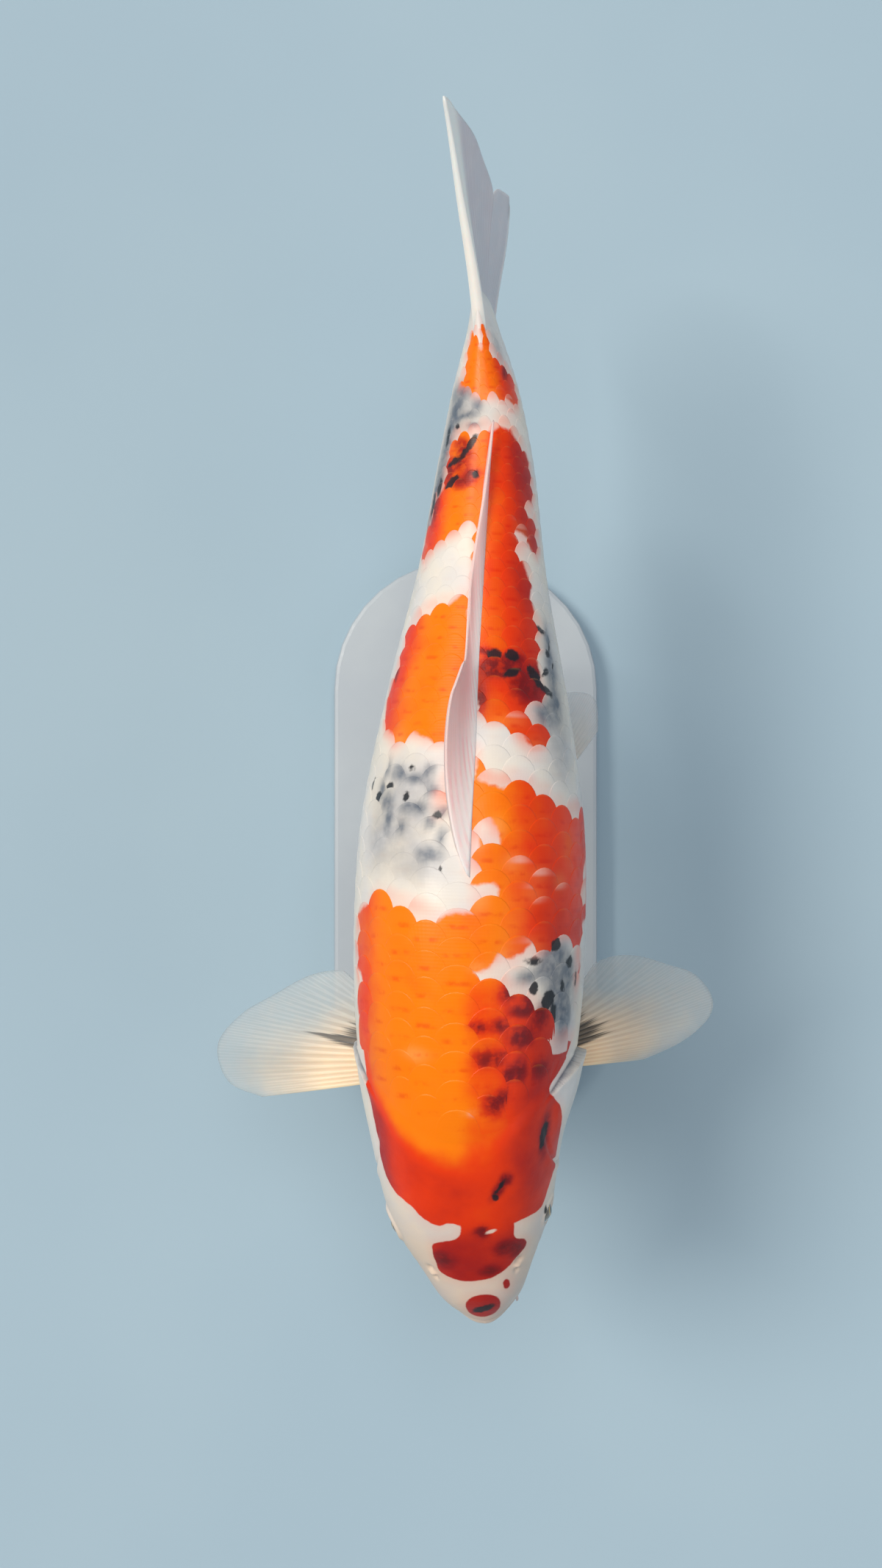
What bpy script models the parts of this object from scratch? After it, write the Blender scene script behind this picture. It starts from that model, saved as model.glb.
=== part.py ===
"""A life-size koi carp on a plain display stand. Metres, +Z up, the head towards -Y.

The fish is first built straight and upright, with X to its left, Y from the snout to the tail and Z up from
its own axis. The last step lays each piece along the gently swaying spine, leans the back to one side and
lifts the fish to its height over the stand. The origin is the middle of the underside of the stand's base.
"""

import math

import bmesh
import bpy
import numpy as np
from mathutils import Matrix, Vector

# Whole fish
STANDARD_LENGTH = 0.5125  # snout to the root of the tail fin
TAIL_TIP = 0.6035  # snout to the tips of the tail fin
AXIS_HEIGHT = 0.205  # the fish's axis over the floor
SNOUT_Y = -0.2385  # puts the fish's weight over the middle of the base
GAP = 0.0003  # clearance between two pieces that touch

# Body stations: distance from the snout, half width, back over the axis, belly over the axis, squareness
STATIONS = {
    "snout tip": (0.0000, 0.0000, -0.0130, -0.0130, 2.0),
    "lips": (0.0050, 0.0105, -0.0035, -0.0235, 2.1),
    "muzzle": (0.0150, 0.0205, 0.0070, -0.0325, 2.2),
    "nostril": (0.0315, 0.0288, 0.0175, -0.0385, 2.3),
    "eye": (0.0570, 0.0404, 0.0330, -0.0485, 2.35),
    "cheek": (0.1010, 0.0490, 0.0545, -0.0620, 2.3),
    "shoulder": (0.1520, 0.0572, 0.0695, -0.0700, 2.2),
    "before dorsal": (0.2085, 0.0592, 0.0755, -0.0725, 2.15),
    "pelvic root": (0.2570, 0.0573, 0.0715, -0.0700, 2.1),
    "vent": (0.3245, 0.0462, 0.0560, -0.0580, 2.05),
    "anal root": (0.3865, 0.0330, 0.0415, -0.0420, 2.0),
    "stalk": (0.4485, 0.0235, 0.0315, -0.0315, 2.0),
    "stalk end": (0.4835, 0.0160, 0.0290, -0.0290, 2.0),
    "tail root": (STANDARD_LENGTH, 0.0070, 0.0300, -0.0300, 1.9),
    "flesh end": (0.5235, 0.0032, 0.0305, -0.0305, 2.0),
}
AROUND = 36  # points round the body

# The rear edge of the head runs from the nape back over the gill covers and forward to the throat
NAPE, GILL_EDGE, THROAT = 0.0915, 0.1440, 0.0855
STALK_CUT = 0.3985  # where the trunk ends and the tail stalk starts

# Head
EYE_AT = Vector((0.0336, 0.0580, 0.0030))
EYE_RADIUS = 0.0074
GILL_COVER_RADIUS, GILL_COVER_INNER = 0.0465, 0.0405
GILL_COVER_AT = (0.1300, -0.0050)  # distance from the snout and height of its middle
MOUTH_LENGTH, MOUTH_START, MOUTH_SLOPE = 0.036, -0.0165, 0.34

# The spine's sway to the fish's left, and the lean of the back to its right in degrees, at distances from the snout
SWAY = {0.0: 0.0070, 0.0315: 0.0034, 0.0635: 0.0, 0.20: 0.0, 0.324: 0.0036, 0.464: 0.0080, 0.524: 0.0066, 0.604: 0.0032}
LEAN = {0.0: 4.0, 0.10: 5.0, 0.22: 5.5, 0.34: 4.0, 0.46: 3.0, 0.505: 6.5, 0.56: 14.0, 0.604: 14.5}

# Stand
BASE_SIZE, BASE_CORNER, BASE_BEVEL = Vector((0.160, 0.350, 0.014)), 0.078, 0.0025
ROD_RADIUS = 0.005
ROD_AT = {"front": (0.0070, 0.168), "rear": (0.0075, 0.350)}  # to the fish's left, and from the snout
COLLAR_RADIUS, COLLAR_HEIGHT = 0.011, 0.006

FINISHES = {
    "skin": ((0.86, 0.80, 0.72), 0.32, 0.0),
    "red_skin": ((0.85, 0.16, 0.03), 0.32, 0.0),
    "fin": ((0.84, 0.78, 0.70), 0.40, 0.0),
    "eye": ((0.03, 0.025, 0.02), 0.05, 0.0),
    "stand_base": ((0.72, 0.72, 0.70), 0.45, 0.0),
    "stand_metal": ((0.62, 0.62, 0.60), 0.30, 1.0),
}


def through(knots, values, at):
    """A smooth curve through the values at the knots: cubic pieces whose slopes are those of the neighbours."""
    knots, values = np.asarray(knots, float), np.asarray(values, float)
    slopes = np.gradient(values, knots, axis=0)
    i = np.clip(np.searchsorted(knots, at) - 1, 0, len(knots) - 2)
    wide = np.shape(at) + (1,) * (values.ndim - 1)
    span = (knots[i + 1] - knots[i]).reshape(wide)
    t = (at - knots[i]).reshape(wide) / span
    level = (1 + 2 * t) * (1 - t) ** 2 * values[i] + t * t * (3 - 2 * t) * values[i + 1]
    return level + t * (1 - t) * span * ((1 - t) * slopes[i] - t * slopes[i + 1])


def flesh(along, angle, grow=0.0):
    """Points of the body's surface. Each section is a superellipse: angle 0 is the fish's left, a quarter turn its back.

    The sizes run smoothly with the root of the distance from the snout, which makes the snout round.
    """
    columns = np.array(list(STATIONS.values())).T
    half, back, belly, square = (
        through(np.sqrt(columns[0]), column, np.sqrt(along)) for column in columns[1:]
    )
    middle, tall = (back + belly) / 2, (back - belly) / 2
    brow = 0.008 * np.exp(-(((along - EYE_AT.y) / 0.010) ** 2) - ((np.sin(angle) - 0.12) / 0.30) ** 2)
    across, up = np.cos(angle), np.sin(angle)
    x = (half * (1 + brow) + grow) * np.sign(across) * np.abs(across) ** (2 / square)
    z = middle + (tall + grow) * np.sign(up) * np.abs(up) ** (2 / square)
    return np.stack(np.broadcast_arrays(x, along, z), axis=-1)


def head_edge(angle):
    """How far from the snout the head ends: furthest back at the sides, over the gills."""
    end = np.where(np.sin(angle) > 0, NAPE, THROAT)
    return end + (GILL_EDGE - end) * np.cos(angle) ** 2


# Each length of the body: where it starts and ends, how many rings it has, and how they crowd to its start
LENGTHS = {
    "head": (0.00002, head_edge, 15, 1.9),
    "trunk": (lambda angle: head_edge(angle) + GAP, STALK_CUT, 17, 1.0),
    "tail_stalk": (STALK_CUT + GAP, STATIONS["flesh end"][0], 9, 1.0),
}


def collection(name):
    found = bpy.data.collections.new(name)
    bpy.context.scene.collection.children.link(found)
    return found


def add_mesh(name, points, faces, group):
    """A new object from points and faces, in one of the two collections."""
    mesh = bpy.data.meshes.new(name)
    mesh.from_pydata(np.asarray(points).reshape(-1, 3).tolist(), [], faces)
    mesh.update()
    made = bpy.data.objects.new(name, mesh)
    group.objects.link(made)
    return made


def take_primitive(name, group):
    """Names the primitive that was just added and moves it to its collection."""
    made = bpy.context.object
    made.name = made.data.name = name
    for old in made.users_collection:
        old.objects.unlink(made)
    group.objects.link(made)
    return made


def hide(cutter):
    cutter.hide_render = True
    cutter.display_type = "WIRE"
    return cutter


def loft(name, rings, front, rear, group):
    """A closed body: rings of points joined by quads, with a fan to one point at each end."""
    count, around = rings.shape[:2]
    points = np.concatenate([rings.reshape(-1, 3), [front, rear]])
    following = np.roll(np.arange(around), -1)
    faces = []
    for i in range(count - 1):
        a, b = i * around, (i + 1) * around
        faces += [(a + j, b + j, b + following[j], a + following[j]) for j in range(around)]
    last = (count - 1) * around
    faces += [(len(points) - 2, j, following[j]) for j in range(around)]
    faces += [(len(points) - 1, last + following[j], last + j) for j in range(around)]
    return add_mesh(name, points, [tuple(int(k) for k in face) for face in faces], group)


def rings_of(length, grow=0.0):
    """The rings of one length of the body, from its first edge to its last."""
    start, end, steps, curve = LENGTHS[length]
    angle = np.linspace(0, 2 * math.pi, AROUND, endpoint=False)
    first = start(angle) if callable(start) else np.full(AROUND, start)
    last = end(angle) if callable(end) else np.full(AROUND, end)
    return flesh(first + (last - first) * np.linspace(0, 1, steps + 1)[:, None] ** curve, angle, grow)


def loft_rings(name, rings, group):
    """A length of the body as one closed piece, with its ends drawn to a point in the middle."""
    ends = [(0, ring[:, 1].mean(), ring[:, 2].mean()) for ring in (rings[0], rings[-1])]
    return loft(name, rings, *ends, group)


def boolean(made, cutter, operation="DIFFERENCE"):
    step = made.modifiers.new(cutter.name, "BOOLEAN")
    step.operation, step.object, step.solver = operation, cutter, "EXACT"


def part_off(whole, name, cutter, wider_cutter, group):
    """Takes the piece inside the cutter off a body. The wider cutter leaves the gap between the two."""
    piece = whole.copy()
    piece.data = whole.data.copy()
    piece.name = piece.data.name = name
    piece.modifiers.clear()
    group.objects.link(piece)
    boolean(piece, cutter, "INTERSECT")
    boolean(whole, wider_cutter)
    return piece


def mouth_cutter(name, grow, group):
    """A block under the line of the mouth, whose top face slopes down from the snout to the corner of the mouth."""
    size = Vector((0.09, 0.05 + MOUTH_LENGTH, 0.06))
    bpy.ops.mesh.primitive_cube_add(size=1)
    made = take_primitive(name, group)
    tilt = Matrix.Rotation(-math.atan(MOUTH_SLOPE), 4, "X")
    block = Matrix.Diagonal((*(size + 2 * grow * Vector((1, 1, 1))), 1))
    to_corner = Matrix.Translation((0, MOUTH_LENGTH - size.y / 2, -size.z / 2))
    made.data.transform(Matrix.Translation((0, 0, MOUTH_START)) @ tilt @ to_corner @ block)
    return hide(made)


def gill_cutter(name, side, grow, group):
    """A disc beside the head, on one side: its flat inner end and round front edge bound the gill cover."""
    bpy.ops.mesh.primitive_cylinder_add(vertices=34, radius=GILL_COVER_RADIUS + grow, depth=0.06 + 2 * grow)
    made = take_primitive(name, group)
    at = Matrix.Translation((side * (GILL_COVER_INNER + 0.03), *GILL_COVER_AT))
    made.data.transform(at @ Matrix.Rotation(math.pi / 2, 4, "Y"))
    return hide(made)


def ball(name, radius, side, group):
    """An eyeball, with its poles facing out and in."""
    bpy.ops.mesh.primitive_uv_sphere_add(segments=16, ring_count=9, radius=radius)
    made = take_primitive(name, group)
    at = Matrix.Translation((side * EYE_AT.x, EYE_AT.y, EYE_AT.z))
    made.data.transform(at @ Matrix.Rotation(math.pi / 2, 4, "Y"))
    return made


def sheet_of(name, grid, thick, thin, group):
    """A fin: a grid of points from the root to the edge, given a thickness that falls from the root to the edge."""
    rays, steps = grid.shape[:2]
    faces = [
        (i * steps + j, (i + 1) * steps + j, (i + 1) * steps + j + 1, i * steps + j + 1)
        for i in range(rays - 1)
        for j in range(steps - 1)
    ]
    made = add_mesh(name, grid, faces, group)
    stoutness = made.vertex_groups.new(name="stoutness")
    for j in range(steps):
        stoutness.add([i * steps + j for i in range(rays)], 1 - j / (steps - 1), "REPLACE")
    wall = made.modifiers.new("wall", "SOLIDIFY")
    wall.thickness, wall.offset, wall.vertex_group = thick, 0, "stoutness"
    wall.thickness_vertex_group = thin / thick
    return made


def fan(roots, ways, lengths, rays, steps, curl=(0, 0, 0)):
    """Points of a fanned fin: rays start along a root line, turn evenly from the first way to the last, and curl.

    Lengths are those of rays spread evenly over the fin, with a smooth curve between them.
    """
    share = np.linspace(0, 1, rays)[:, None, None]
    root = (1 - share) * np.array(roots[0]) + share * np.array(roots[1])
    way = through(np.linspace(0, 1, len(ways)), ways, share[:, 0, 0])[:, None, :]
    way /= np.linalg.norm(way, axis=-1, keepdims=True)
    length = through(np.linspace(0, 1, len(lengths)), lengths, share)
    out = np.linspace(0, 1, steps)[None, :, None]
    return root + out * length * way + (out * length) ** 2 * np.array(curl, float)


def pectoral_fin(side):
    """The paddle behind the gill cover, held out level. The fish's right fin is held a little further forward."""
    slopes = [-0.12, -0.13, -0.15, -0.18, -0.22, -0.30]
    if side > 0:
        front, back = 0.1270, [0.10, 0.17, 0.28, 0.46, 0.72, 1.50]
        lengths = [0.053, 0.077, 0.092, 0.087, 0.069, 0.041]
    else:
        front, back = 0.1200, [-0.17, -0.14, -0.03, 0.09, 0.28, 0.76]
        lengths = [0.079, 0.099, 0.105, 0.093, 0.070, 0.042]
    roots = [(0.038, front, -0.041), (0.040, 0.1495, -0.043)]
    ways = [(1, sweep, slope) for sweep, slope in zip(back, slopes)]
    return fan(roots, ways, lengths, 16, 9, (0, 0.2, -0.8)) * (side, 1, 1)


def pelvic_fin(side):
    """The smaller paddle under the belly. The fish's left fin is spread further than the other."""
    spread = 0.76 if side > 0 else 0.26
    roots = [(0.020, 0.2505, -0.064), (0.011, 0.2655, -0.066)]
    ways = [(spread, 1, -0.34), (spread * 0.62, 1, -0.40), (spread * 0.10, 1, -0.34)]
    return fan(roots, ways, [0.072, 0.084, 0.080, 0.066, 0.046], 13, 6, (0, 0.6, 0.8)) * (side, 1, 1)


def anal_fin():
    roots = [(0, 0.3845, -0.039), (0, 0.4175, -0.033)]
    ways = [(0.05, 0.72, -1), (0.04, 1.0, -1), (0, 1.2, -0.70)]
    return fan(roots, ways, [0.063, 0.062, 0.054, 0.043, 0.028], 11, 6, (0.4, 1.2, 0.8))


def dorsal_fin():
    """The long fin of the back, folded down: its rays lie back at a low angle.

    Its base runs near the top line of the leaning body. The long rays in front bow out to the fish's right, and the
    last ones lean to its left.
    """
    share = np.linspace(0, 1, 21)
    at = 0.233 + 0.1835 * share
    lean = np.radians(through(list(LEAN), list(LEAN.values()), at))
    root = flesh(at, math.pi / 2 - 0.7 * lean) - (0, 0, 0.002)
    length = through([0, 0.10, 0.26, 0.6, 1], [0.092, 0.084, 0.058, 0.046, 0.041], share)
    climb = math.radians(11.5)
    over = np.radians(through([0, 0.10, 0.26, 0.6, 0.78, 1], [34, 26, 34, 34, 8, -28], share))
    fall = np.gradient(root[:, 2], at)
    way = np.stack([-math.sin(climb) * np.sin(over), 0 * at + math.cos(climb),
                    math.sin(climb) * np.cos(over) + fall * math.cos(climb)], -1)
    out = np.linspace(0, 1, 6)[None, :, None]
    grid = root[:, None] + out * length[:, None, None] * way[:, None]
    grid[..., 0] -= 0.0078 * np.sin(math.pi * np.minimum(out[..., 0], 0.999)) ** 0.6 * (length / length[0])[:, None] ** 3
    return grid


def tail_fin():
    """The forked tail fin: rays fan out from the stalk to two broad lobes, of which the lower is the shorter.

    Its web bends to the fish's left toward the rear, and its upper and lower edges lag behind, as in a shallow cup.
    """
    share = np.linspace(-1, 1, 21)
    fork, tip_height, bend, cup = 0.5765, 0.073, 0.0072, 1.20
    reach = np.where(share > 0, TAIL_TIP + 0.0035 - fork, 0.0175)
    lobe = np.abs(share) ** 0.5 * (1 - 0.10 * np.abs(share) ** 10)
    root = np.stack([0 * share, 0.5005 + 0 * share, 0.0265 * share], -1)
    end = np.stack([0 * share, fork + reach * lobe, tip_height * share], -1)
    out = np.linspace(0, 1, 8)[None, :, None]
    grid = root[:, None] + out * (end - root)[:, None]
    out = out[..., 0]
    grid[..., 2] -= 0.006 * np.sin(math.pi * out) * share[:, None]
    grid[..., 0] += bend * out**2 - cup * out * grid[..., 2] ** 2
    return grid


def barbel(name, points, radius, group):
    """A feeler at the lip: a tapering tube along a few points, made a mesh so that it can be trimmed to the lip."""
    curve = bpy.data.curves.new(name, "CURVE")
    curve.dimensions, curve.resolution_u = "3D", 5
    curve.bevel_depth, curve.bevel_resolution, curve.use_fill_caps = radius, 1, True
    spline = curve.splines.new("NURBS")
    spline.points.add(len(points) - 1)
    spline.order_u, spline.use_endpoint_u = 3, True
    for k, (point, at) in enumerate(zip(spline.points, points)):
        point.co = (*at, 1)
        point.radius = 1 - 0.5 * k / (len(points) - 1)
    drawn = bpy.data.objects.new(name, curve)
    group.objects.link(drawn)
    bpy.context.view_layer.update()
    mesh = bpy.data.meshes.new_from_object(drawn.evaluated_get(bpy.context.evaluated_depsgraph_get()))
    bpy.data.objects.remove(drawn)
    welded = bmesh.new()
    welded.from_mesh(mesh)
    bmesh.ops.remove_doubles(welded, verts=welded.verts, dist=1e-6)
    bmesh.ops.recalc_face_normals(welded, faces=welded.faces)
    welded.to_mesh(mesh)
    welded.free()
    made = bpy.data.objects.new(name, mesh)
    group.objects.link(made)
    return made


def settle(made):
    """Makes the modifiers' result the object's own mesh."""
    bpy.context.view_layer.update()
    mesh = bpy.data.meshes.new_from_object(made.evaluated_get(bpy.context.evaluated_depsgraph_get()))
    made.modifiers.clear()
    made.data = mesh


def lay_along_spine(made):
    """Moves each point from the straight, upright fish to its place in the pose."""
    count = len(made.data.vertices)
    flat = np.zeros(count * 3)
    made.data.vertices.foreach_get("co", flat)
    x, along, z = flat.reshape(-1, 3).T
    knots = np.array(list(SWAY))
    inside = np.clip(along, knots[0], knots[-1])
    sway = through(knots, list(SWAY.values()), inside)
    step = 0.001
    ahead = through(knots, list(SWAY.values()), np.clip(inside + step, 0, knots[-1]))
    behind = through(knots, list(SWAY.values()), np.clip(inside - step, 0, knots[-1]))
    heading = np.arctan2(ahead - behind, 2 * step)
    lean = np.radians(through(list(LEAN), list(LEAN.values()), inside))
    across = x * np.cos(lean) - z * np.sin(lean)
    up = x * np.sin(lean) + z * np.cos(lean)
    placed = np.stack(
        [sway + across * np.cos(heading), SNOUT_Y + along - across * np.sin(heading), AXIS_HEIGHT + up], -1
    )
    made.data.vertices.foreach_set("co", placed.ravel())
    made.data.update()


def give_finish(made, finish):
    colour, roughness, metallic = FINISHES[finish]
    material = bpy.data.materials.get(finish) or bpy.data.materials.new(finish)
    material.use_nodes = True
    shader = material.node_tree.nodes["Principled BSDF"]
    shader.inputs["Base Color"].default_value = (*colour, 1)
    shader.inputs["Roughness"].default_value = roughness
    shader.inputs["Metallic"].default_value = metallic
    made.data.materials.clear()
    made.data.materials.append(material)


def make_head(parts, cutters):
    """Head, lower jaw and two gill covers from one loft, with sockets for the eyes, and the eyes themselves."""
    head = loft_rings("head", rings_of("head"), parts)
    jaw_cut = mouth_cutter("jaw_cut", 0, cutters)
    jaw_gap = mouth_cutter("jaw_gap", GAP, cutters)
    part_off(head, "lower_jaw", jaw_cut, jaw_gap, parts)
    for side, name in ((1, "left"), (-1, "right")):
        cover_cut = gill_cutter(f"cover_cut_{name}", side, 0, cutters)
        cover_gap = gill_cutter(f"cover_gap_{name}", side, GAP, cutters)
        part_off(head, f"gill_cover_{name}", cover_cut, cover_gap, parts)
        boolean(head, hide(ball(f"socket_{name}", EYE_RADIUS + GAP, side, cutters)))
        ball(f"eye_{name}", EYE_RADIUS, side, parts)


def make_body(parts):
    for length in ("trunk", "tail_stalk"):
        loft_rings(length, rings_of(length), parts)


def make_trim(cutters):
    """The whole body, larger by the gap, which trims whatever starts inside the body."""
    rings = np.concatenate([rings_of(length, GAP) for length in LENGTHS])
    return hide(loft_rings("trim", np.concatenate([rings, rings[-1:] + (0, GAP, 0)]), cutters))


def make_fins(parts, trim):
    """All fins start inside the body and are trimmed where they come out of it."""
    fins = [
        sheet_of("dorsal_fin", dorsal_fin(), 0.0034, 0.0011, parts),
        sheet_of("tail_fin", tail_fin(), 0.0034, 0.0011, parts),
        sheet_of("anal_fin", anal_fin(), 0.0030, 0.0010, parts),
    ]
    for side, name in ((1, "left"), (-1, "right")):
        fins.append(sheet_of(f"pectoral_fin_{name}", pectoral_fin(side), 0.0040, 0.0011, parts))
        fins.append(sheet_of(f"pelvic_fin_{name}", pelvic_fin(side), 0.0030, 0.0010, parts))
    for made in fins:
        boolean(made, trim)


def make_barbels(parts, trim):
    """Two feelers a side: a short one over the upper lip and a long one at the corner of the mouth."""
    upper = [(0.0120, 0.0140, -0.0150), (0.0165, 0.0100, -0.0190), (0.0170, 0.0070, -0.0230), (0.0165, 0.0050, -0.0275)]
    corner = [(0.0145, 0.0300, -0.0320), (0.0205, 0.0265, -0.0360), (0.0220, 0.0230, -0.0425), (0.0210, 0.0190, -0.0490)]
    for side, name in ((1, "left"), (-1, "right")):
        for kind, points, radius in (("upper", upper, 0.0011), ("corner", corner, 0.0014)):
            mirrored = [(side * x, y, z) for x, y, z in points]
            boolean(barbel(f"barbel_{kind}_{name}", mirrored, radius, parts), trim)


def make_stand(parts, posed_trim):
    """A flat base with round ends and two upright rods, each in a collar, which reach the belly."""
    bpy.ops.mesh.primitive_plane_add(size=1)
    outline = take_primitive("stand_base", parts)
    outline.data.transform(Matrix.Diagonal((BASE_SIZE.x, BASE_SIZE.y, 1, 1)))
    corners = outline.modifiers.new("corners", "BEVEL")
    corners.affect, corners.width, corners.segments = "VERTICES", BASE_CORNER, 9
    plate = outline.modifiers.new("plate", "SOLIDIFY")
    plate.thickness, plate.offset = BASE_SIZE.z, 1
    edge = outline.modifiers.new("edge", "BEVEL")
    edge.width, edge.segments, edge.limit_method = BASE_BEVEL, 2, "ANGLE"
    edge.angle_limit = math.radians(60)
    for name, (across, from_snout) in ROD_AT.items():
        foot = Vector((across, SNOUT_Y + from_snout, BASE_SIZE.z + GAP))
        bpy.ops.mesh.primitive_cylinder_add(vertices=24, radius=ROD_RADIUS, depth=AXIS_HEIGHT - foot.z)
        rod = take_primitive(f"stand_rod_{name}", parts)
        rod.data.transform(Matrix.Translation((foot.x, foot.y, (foot.z + AXIS_HEIGHT) / 2)))
        bpy.ops.mesh.primitive_cylinder_add(vertices=28, radius=COLLAR_RADIUS, depth=COLLAR_HEIGHT)
        collar = take_primitive(f"collar_{name}", parts)
        collar.data.transform(Matrix.Translation((foot.x, foot.y, foot.z + COLLAR_HEIGHT / 2)))
        boolean(rod, collar, "UNION")
        boolean(rod, posed_trim)
        settle(rod)
        bpy.data.objects.remove(collar)


def main():
    for old in list(bpy.data.objects):
        bpy.data.objects.remove(old)
    parts, cutters = collection("koi_carp"), collection("cutters")
    trim = make_trim(cutters)
    make_head(parts, cutters)
    make_body(parts)
    make_fins(parts, trim)
    make_barbels(parts, trim)
    fish = list(parts.objects)
    for made in fish:
        settle(made)
    for made in [*fish, trim]:
        lay_along_spine(made)
    make_stand(parts, trim)
    for made in parts.objects:
        kind = made.name.split("_")[0]
        if kind == "stand":
            finish = "stand_base" if made.name == "stand_base" else "stand_metal"
        elif kind == "eye":
            finish = "eye"
        else:
            finish = "fin" if "fin" in made.name else "skin"
        give_finish(made, finish)


main()
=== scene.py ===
"""The finish of a koi carp model: skin, scales, fins, eyes and feelers on a plain display stand.

Lengths are in metres unless a name says mm, angles in radians unless a name says deg. The fish heads toward
-Y and its left side is toward +X. A place on its body is a distance from the snout and an angle off the
ridge of its back.
"""

import math

import bpy
import numpy as np
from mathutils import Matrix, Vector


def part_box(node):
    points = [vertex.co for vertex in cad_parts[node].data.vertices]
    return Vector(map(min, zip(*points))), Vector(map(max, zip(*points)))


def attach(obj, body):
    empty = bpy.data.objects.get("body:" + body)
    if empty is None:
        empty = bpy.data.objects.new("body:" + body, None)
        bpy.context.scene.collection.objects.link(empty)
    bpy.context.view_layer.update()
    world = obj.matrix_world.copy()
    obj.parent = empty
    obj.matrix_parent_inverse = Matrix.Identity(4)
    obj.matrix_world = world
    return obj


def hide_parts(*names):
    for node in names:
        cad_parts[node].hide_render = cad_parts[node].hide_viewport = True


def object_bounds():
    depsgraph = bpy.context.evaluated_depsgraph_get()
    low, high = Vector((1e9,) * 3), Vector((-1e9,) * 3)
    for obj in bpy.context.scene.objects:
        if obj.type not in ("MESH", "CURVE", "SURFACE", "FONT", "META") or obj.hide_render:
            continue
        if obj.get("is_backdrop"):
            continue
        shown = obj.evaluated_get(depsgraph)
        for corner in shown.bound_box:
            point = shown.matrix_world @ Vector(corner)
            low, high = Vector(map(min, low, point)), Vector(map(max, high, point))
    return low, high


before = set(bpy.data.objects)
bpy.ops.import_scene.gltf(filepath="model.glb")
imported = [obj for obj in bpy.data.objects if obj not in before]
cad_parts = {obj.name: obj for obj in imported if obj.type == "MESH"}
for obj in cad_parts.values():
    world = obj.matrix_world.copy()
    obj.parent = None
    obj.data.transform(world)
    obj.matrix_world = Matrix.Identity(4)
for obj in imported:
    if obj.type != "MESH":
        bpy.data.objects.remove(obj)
cad_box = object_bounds()
bpy.context.scene.view_settings.view_transform = "Standard"


# ---- Skin -----------------------------------------------------------------------------------------
# One painted skin covers the head, jaw, gill covers, trunk and tail stalk, with no seam. It is cast over
# the solid body, and it lies a scale's depth inside it where scales cover it. The head's folds and openings
# are modelled in.

STATIONS = {  # name: from the snout, half width, height of the back, of the belly, squareness of the section
    "snout tip": (0.0, 0.0, -0.0130, -0.0130, 2.0),
    "lips": (0.0050, 0.0105, -0.0035, -0.0235, 2.1),
    "muzzle": (0.0150, 0.0205, 0.0070, -0.0325, 2.2),
    "nostril": (0.0315, 0.0288, 0.0175, -0.0385, 2.3),
    "eye": (0.0570, 0.0404, 0.0330, -0.0485, 2.35),
    "cheek": (0.1010, 0.0490, 0.0545, -0.0620, 2.3),
    "shoulder": (0.1520, 0.0572, 0.0695, -0.0700, 2.2),
    "before dorsal": (0.2085, 0.0592, 0.0755, -0.0725, 2.15),
    "pelvic root": (0.2570, 0.0573, 0.0715, -0.0700, 2.1),
    "vent": (0.3245, 0.0462, 0.0560, -0.0580, 2.05),
    "anal root": (0.3865, 0.0330, 0.0415, -0.0420, 2.0),
    "stalk": (0.4485, 0.0235, 0.0315, -0.0315, 2.0),
    "stalk end": (0.4835, 0.0160, 0.0290, -0.0290, 2.0),
    "tail root": (0.5125, 0.0070, 0.0300, -0.0300, 1.9),
    "flesh end": (0.5235, 0.0032, 0.0305, -0.0305, 2.0),
}
SWAY = {
    0: 0.0070, 0.0315: 0.0034, 0.0635: 0, 0.20: 0, 0.324: 0.0036, 0.464: 0.0080, 0.524: 0.0066, 0.604: 0.0032,
}
LEAN_DEG = {0: 4, 0.10: 5, 0.22: 5.5, 0.34: 4, 0.46: 3, 0.505: 6.5, 0.56: 14, 0.604: 14.5}
FISH_LENGTH = 0.604
SNOUT_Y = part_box("head")[0].y
AXIS_HEIGHT = (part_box("tail_stalk")[0].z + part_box("tail_stalk")[1].z) / 2
NAPE, GILL_EDGE, THROAT = 0.0915, 0.1440, 0.0855
EYE_AT, EYE_RADIUS, BROW_SWELL = (0.0336, 0.0580, 0.0030), 0.0074, 0.008
MOUTH_LENGTH, MOUTH_START, MOUTH_SLOPE = 0.036, -0.0165, 0.34
GILL_COVER_AT, GILL_COVER_RADIUS = (0.1300, -0.0050), 0.0465
NOSTRIL_AT, NOSTRIL_DEG = 0.0330, 44
GILL_HINGE = (0.0900, 0.0180)
GILL_RIM_MM, GILL_STEP_MM = 0.9, 2.3
GILL_OPEN_MM = 2.6  # how far the left cover stands open
SOCKET_DEPTH_MM = 1.9
MOUTH_FOLDS_MM = {  # how far each stands out, its distance above the mouth line, and its half width
    "upper lip": (1.6, 2.5, 1.7), "lower lip": (1.3, -2.6, 1.8), "mouth line": (-2.3, 0, 0.75),
    "upper crease": (-0.9, 6.4, 1.1), "lower crease": (-0.8, -6.6, 1.2),
}
COAT_DEPTH = 0.0008
HEAD_END = 0.154
SKIN_ROWS_HEAD, SKIN_ROWS_BODY, SKIN_AROUND = 290, 54, 288
UNWRAP_MARGIN = 0.02


def through(knots, values, at):
    """A smooth curve through values at knots: cubic pieces whose slopes are those of their neighbours."""
    knots, values = np.asarray(knots, float), np.asarray(values, float)
    slopes = np.gradient(values, knots, axis=0)
    i = np.clip(np.searchsorted(knots, at) - 1, 0, len(knots) - 2)
    wide = np.shape(at) + (1,) * (values.ndim - 1)
    span = (knots[i + 1] - knots[i]).reshape(wide)
    t = (at - knots[i]).reshape(wide) / span
    level = (1 + 2 * t) * (1 - t) ** 2 * values[i] + t * t * (3 - 2 * t) * values[i + 1]
    return level + t * (1 - t) * span * ((1 - t) * slopes[i] - t * slopes[i + 1])


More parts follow.
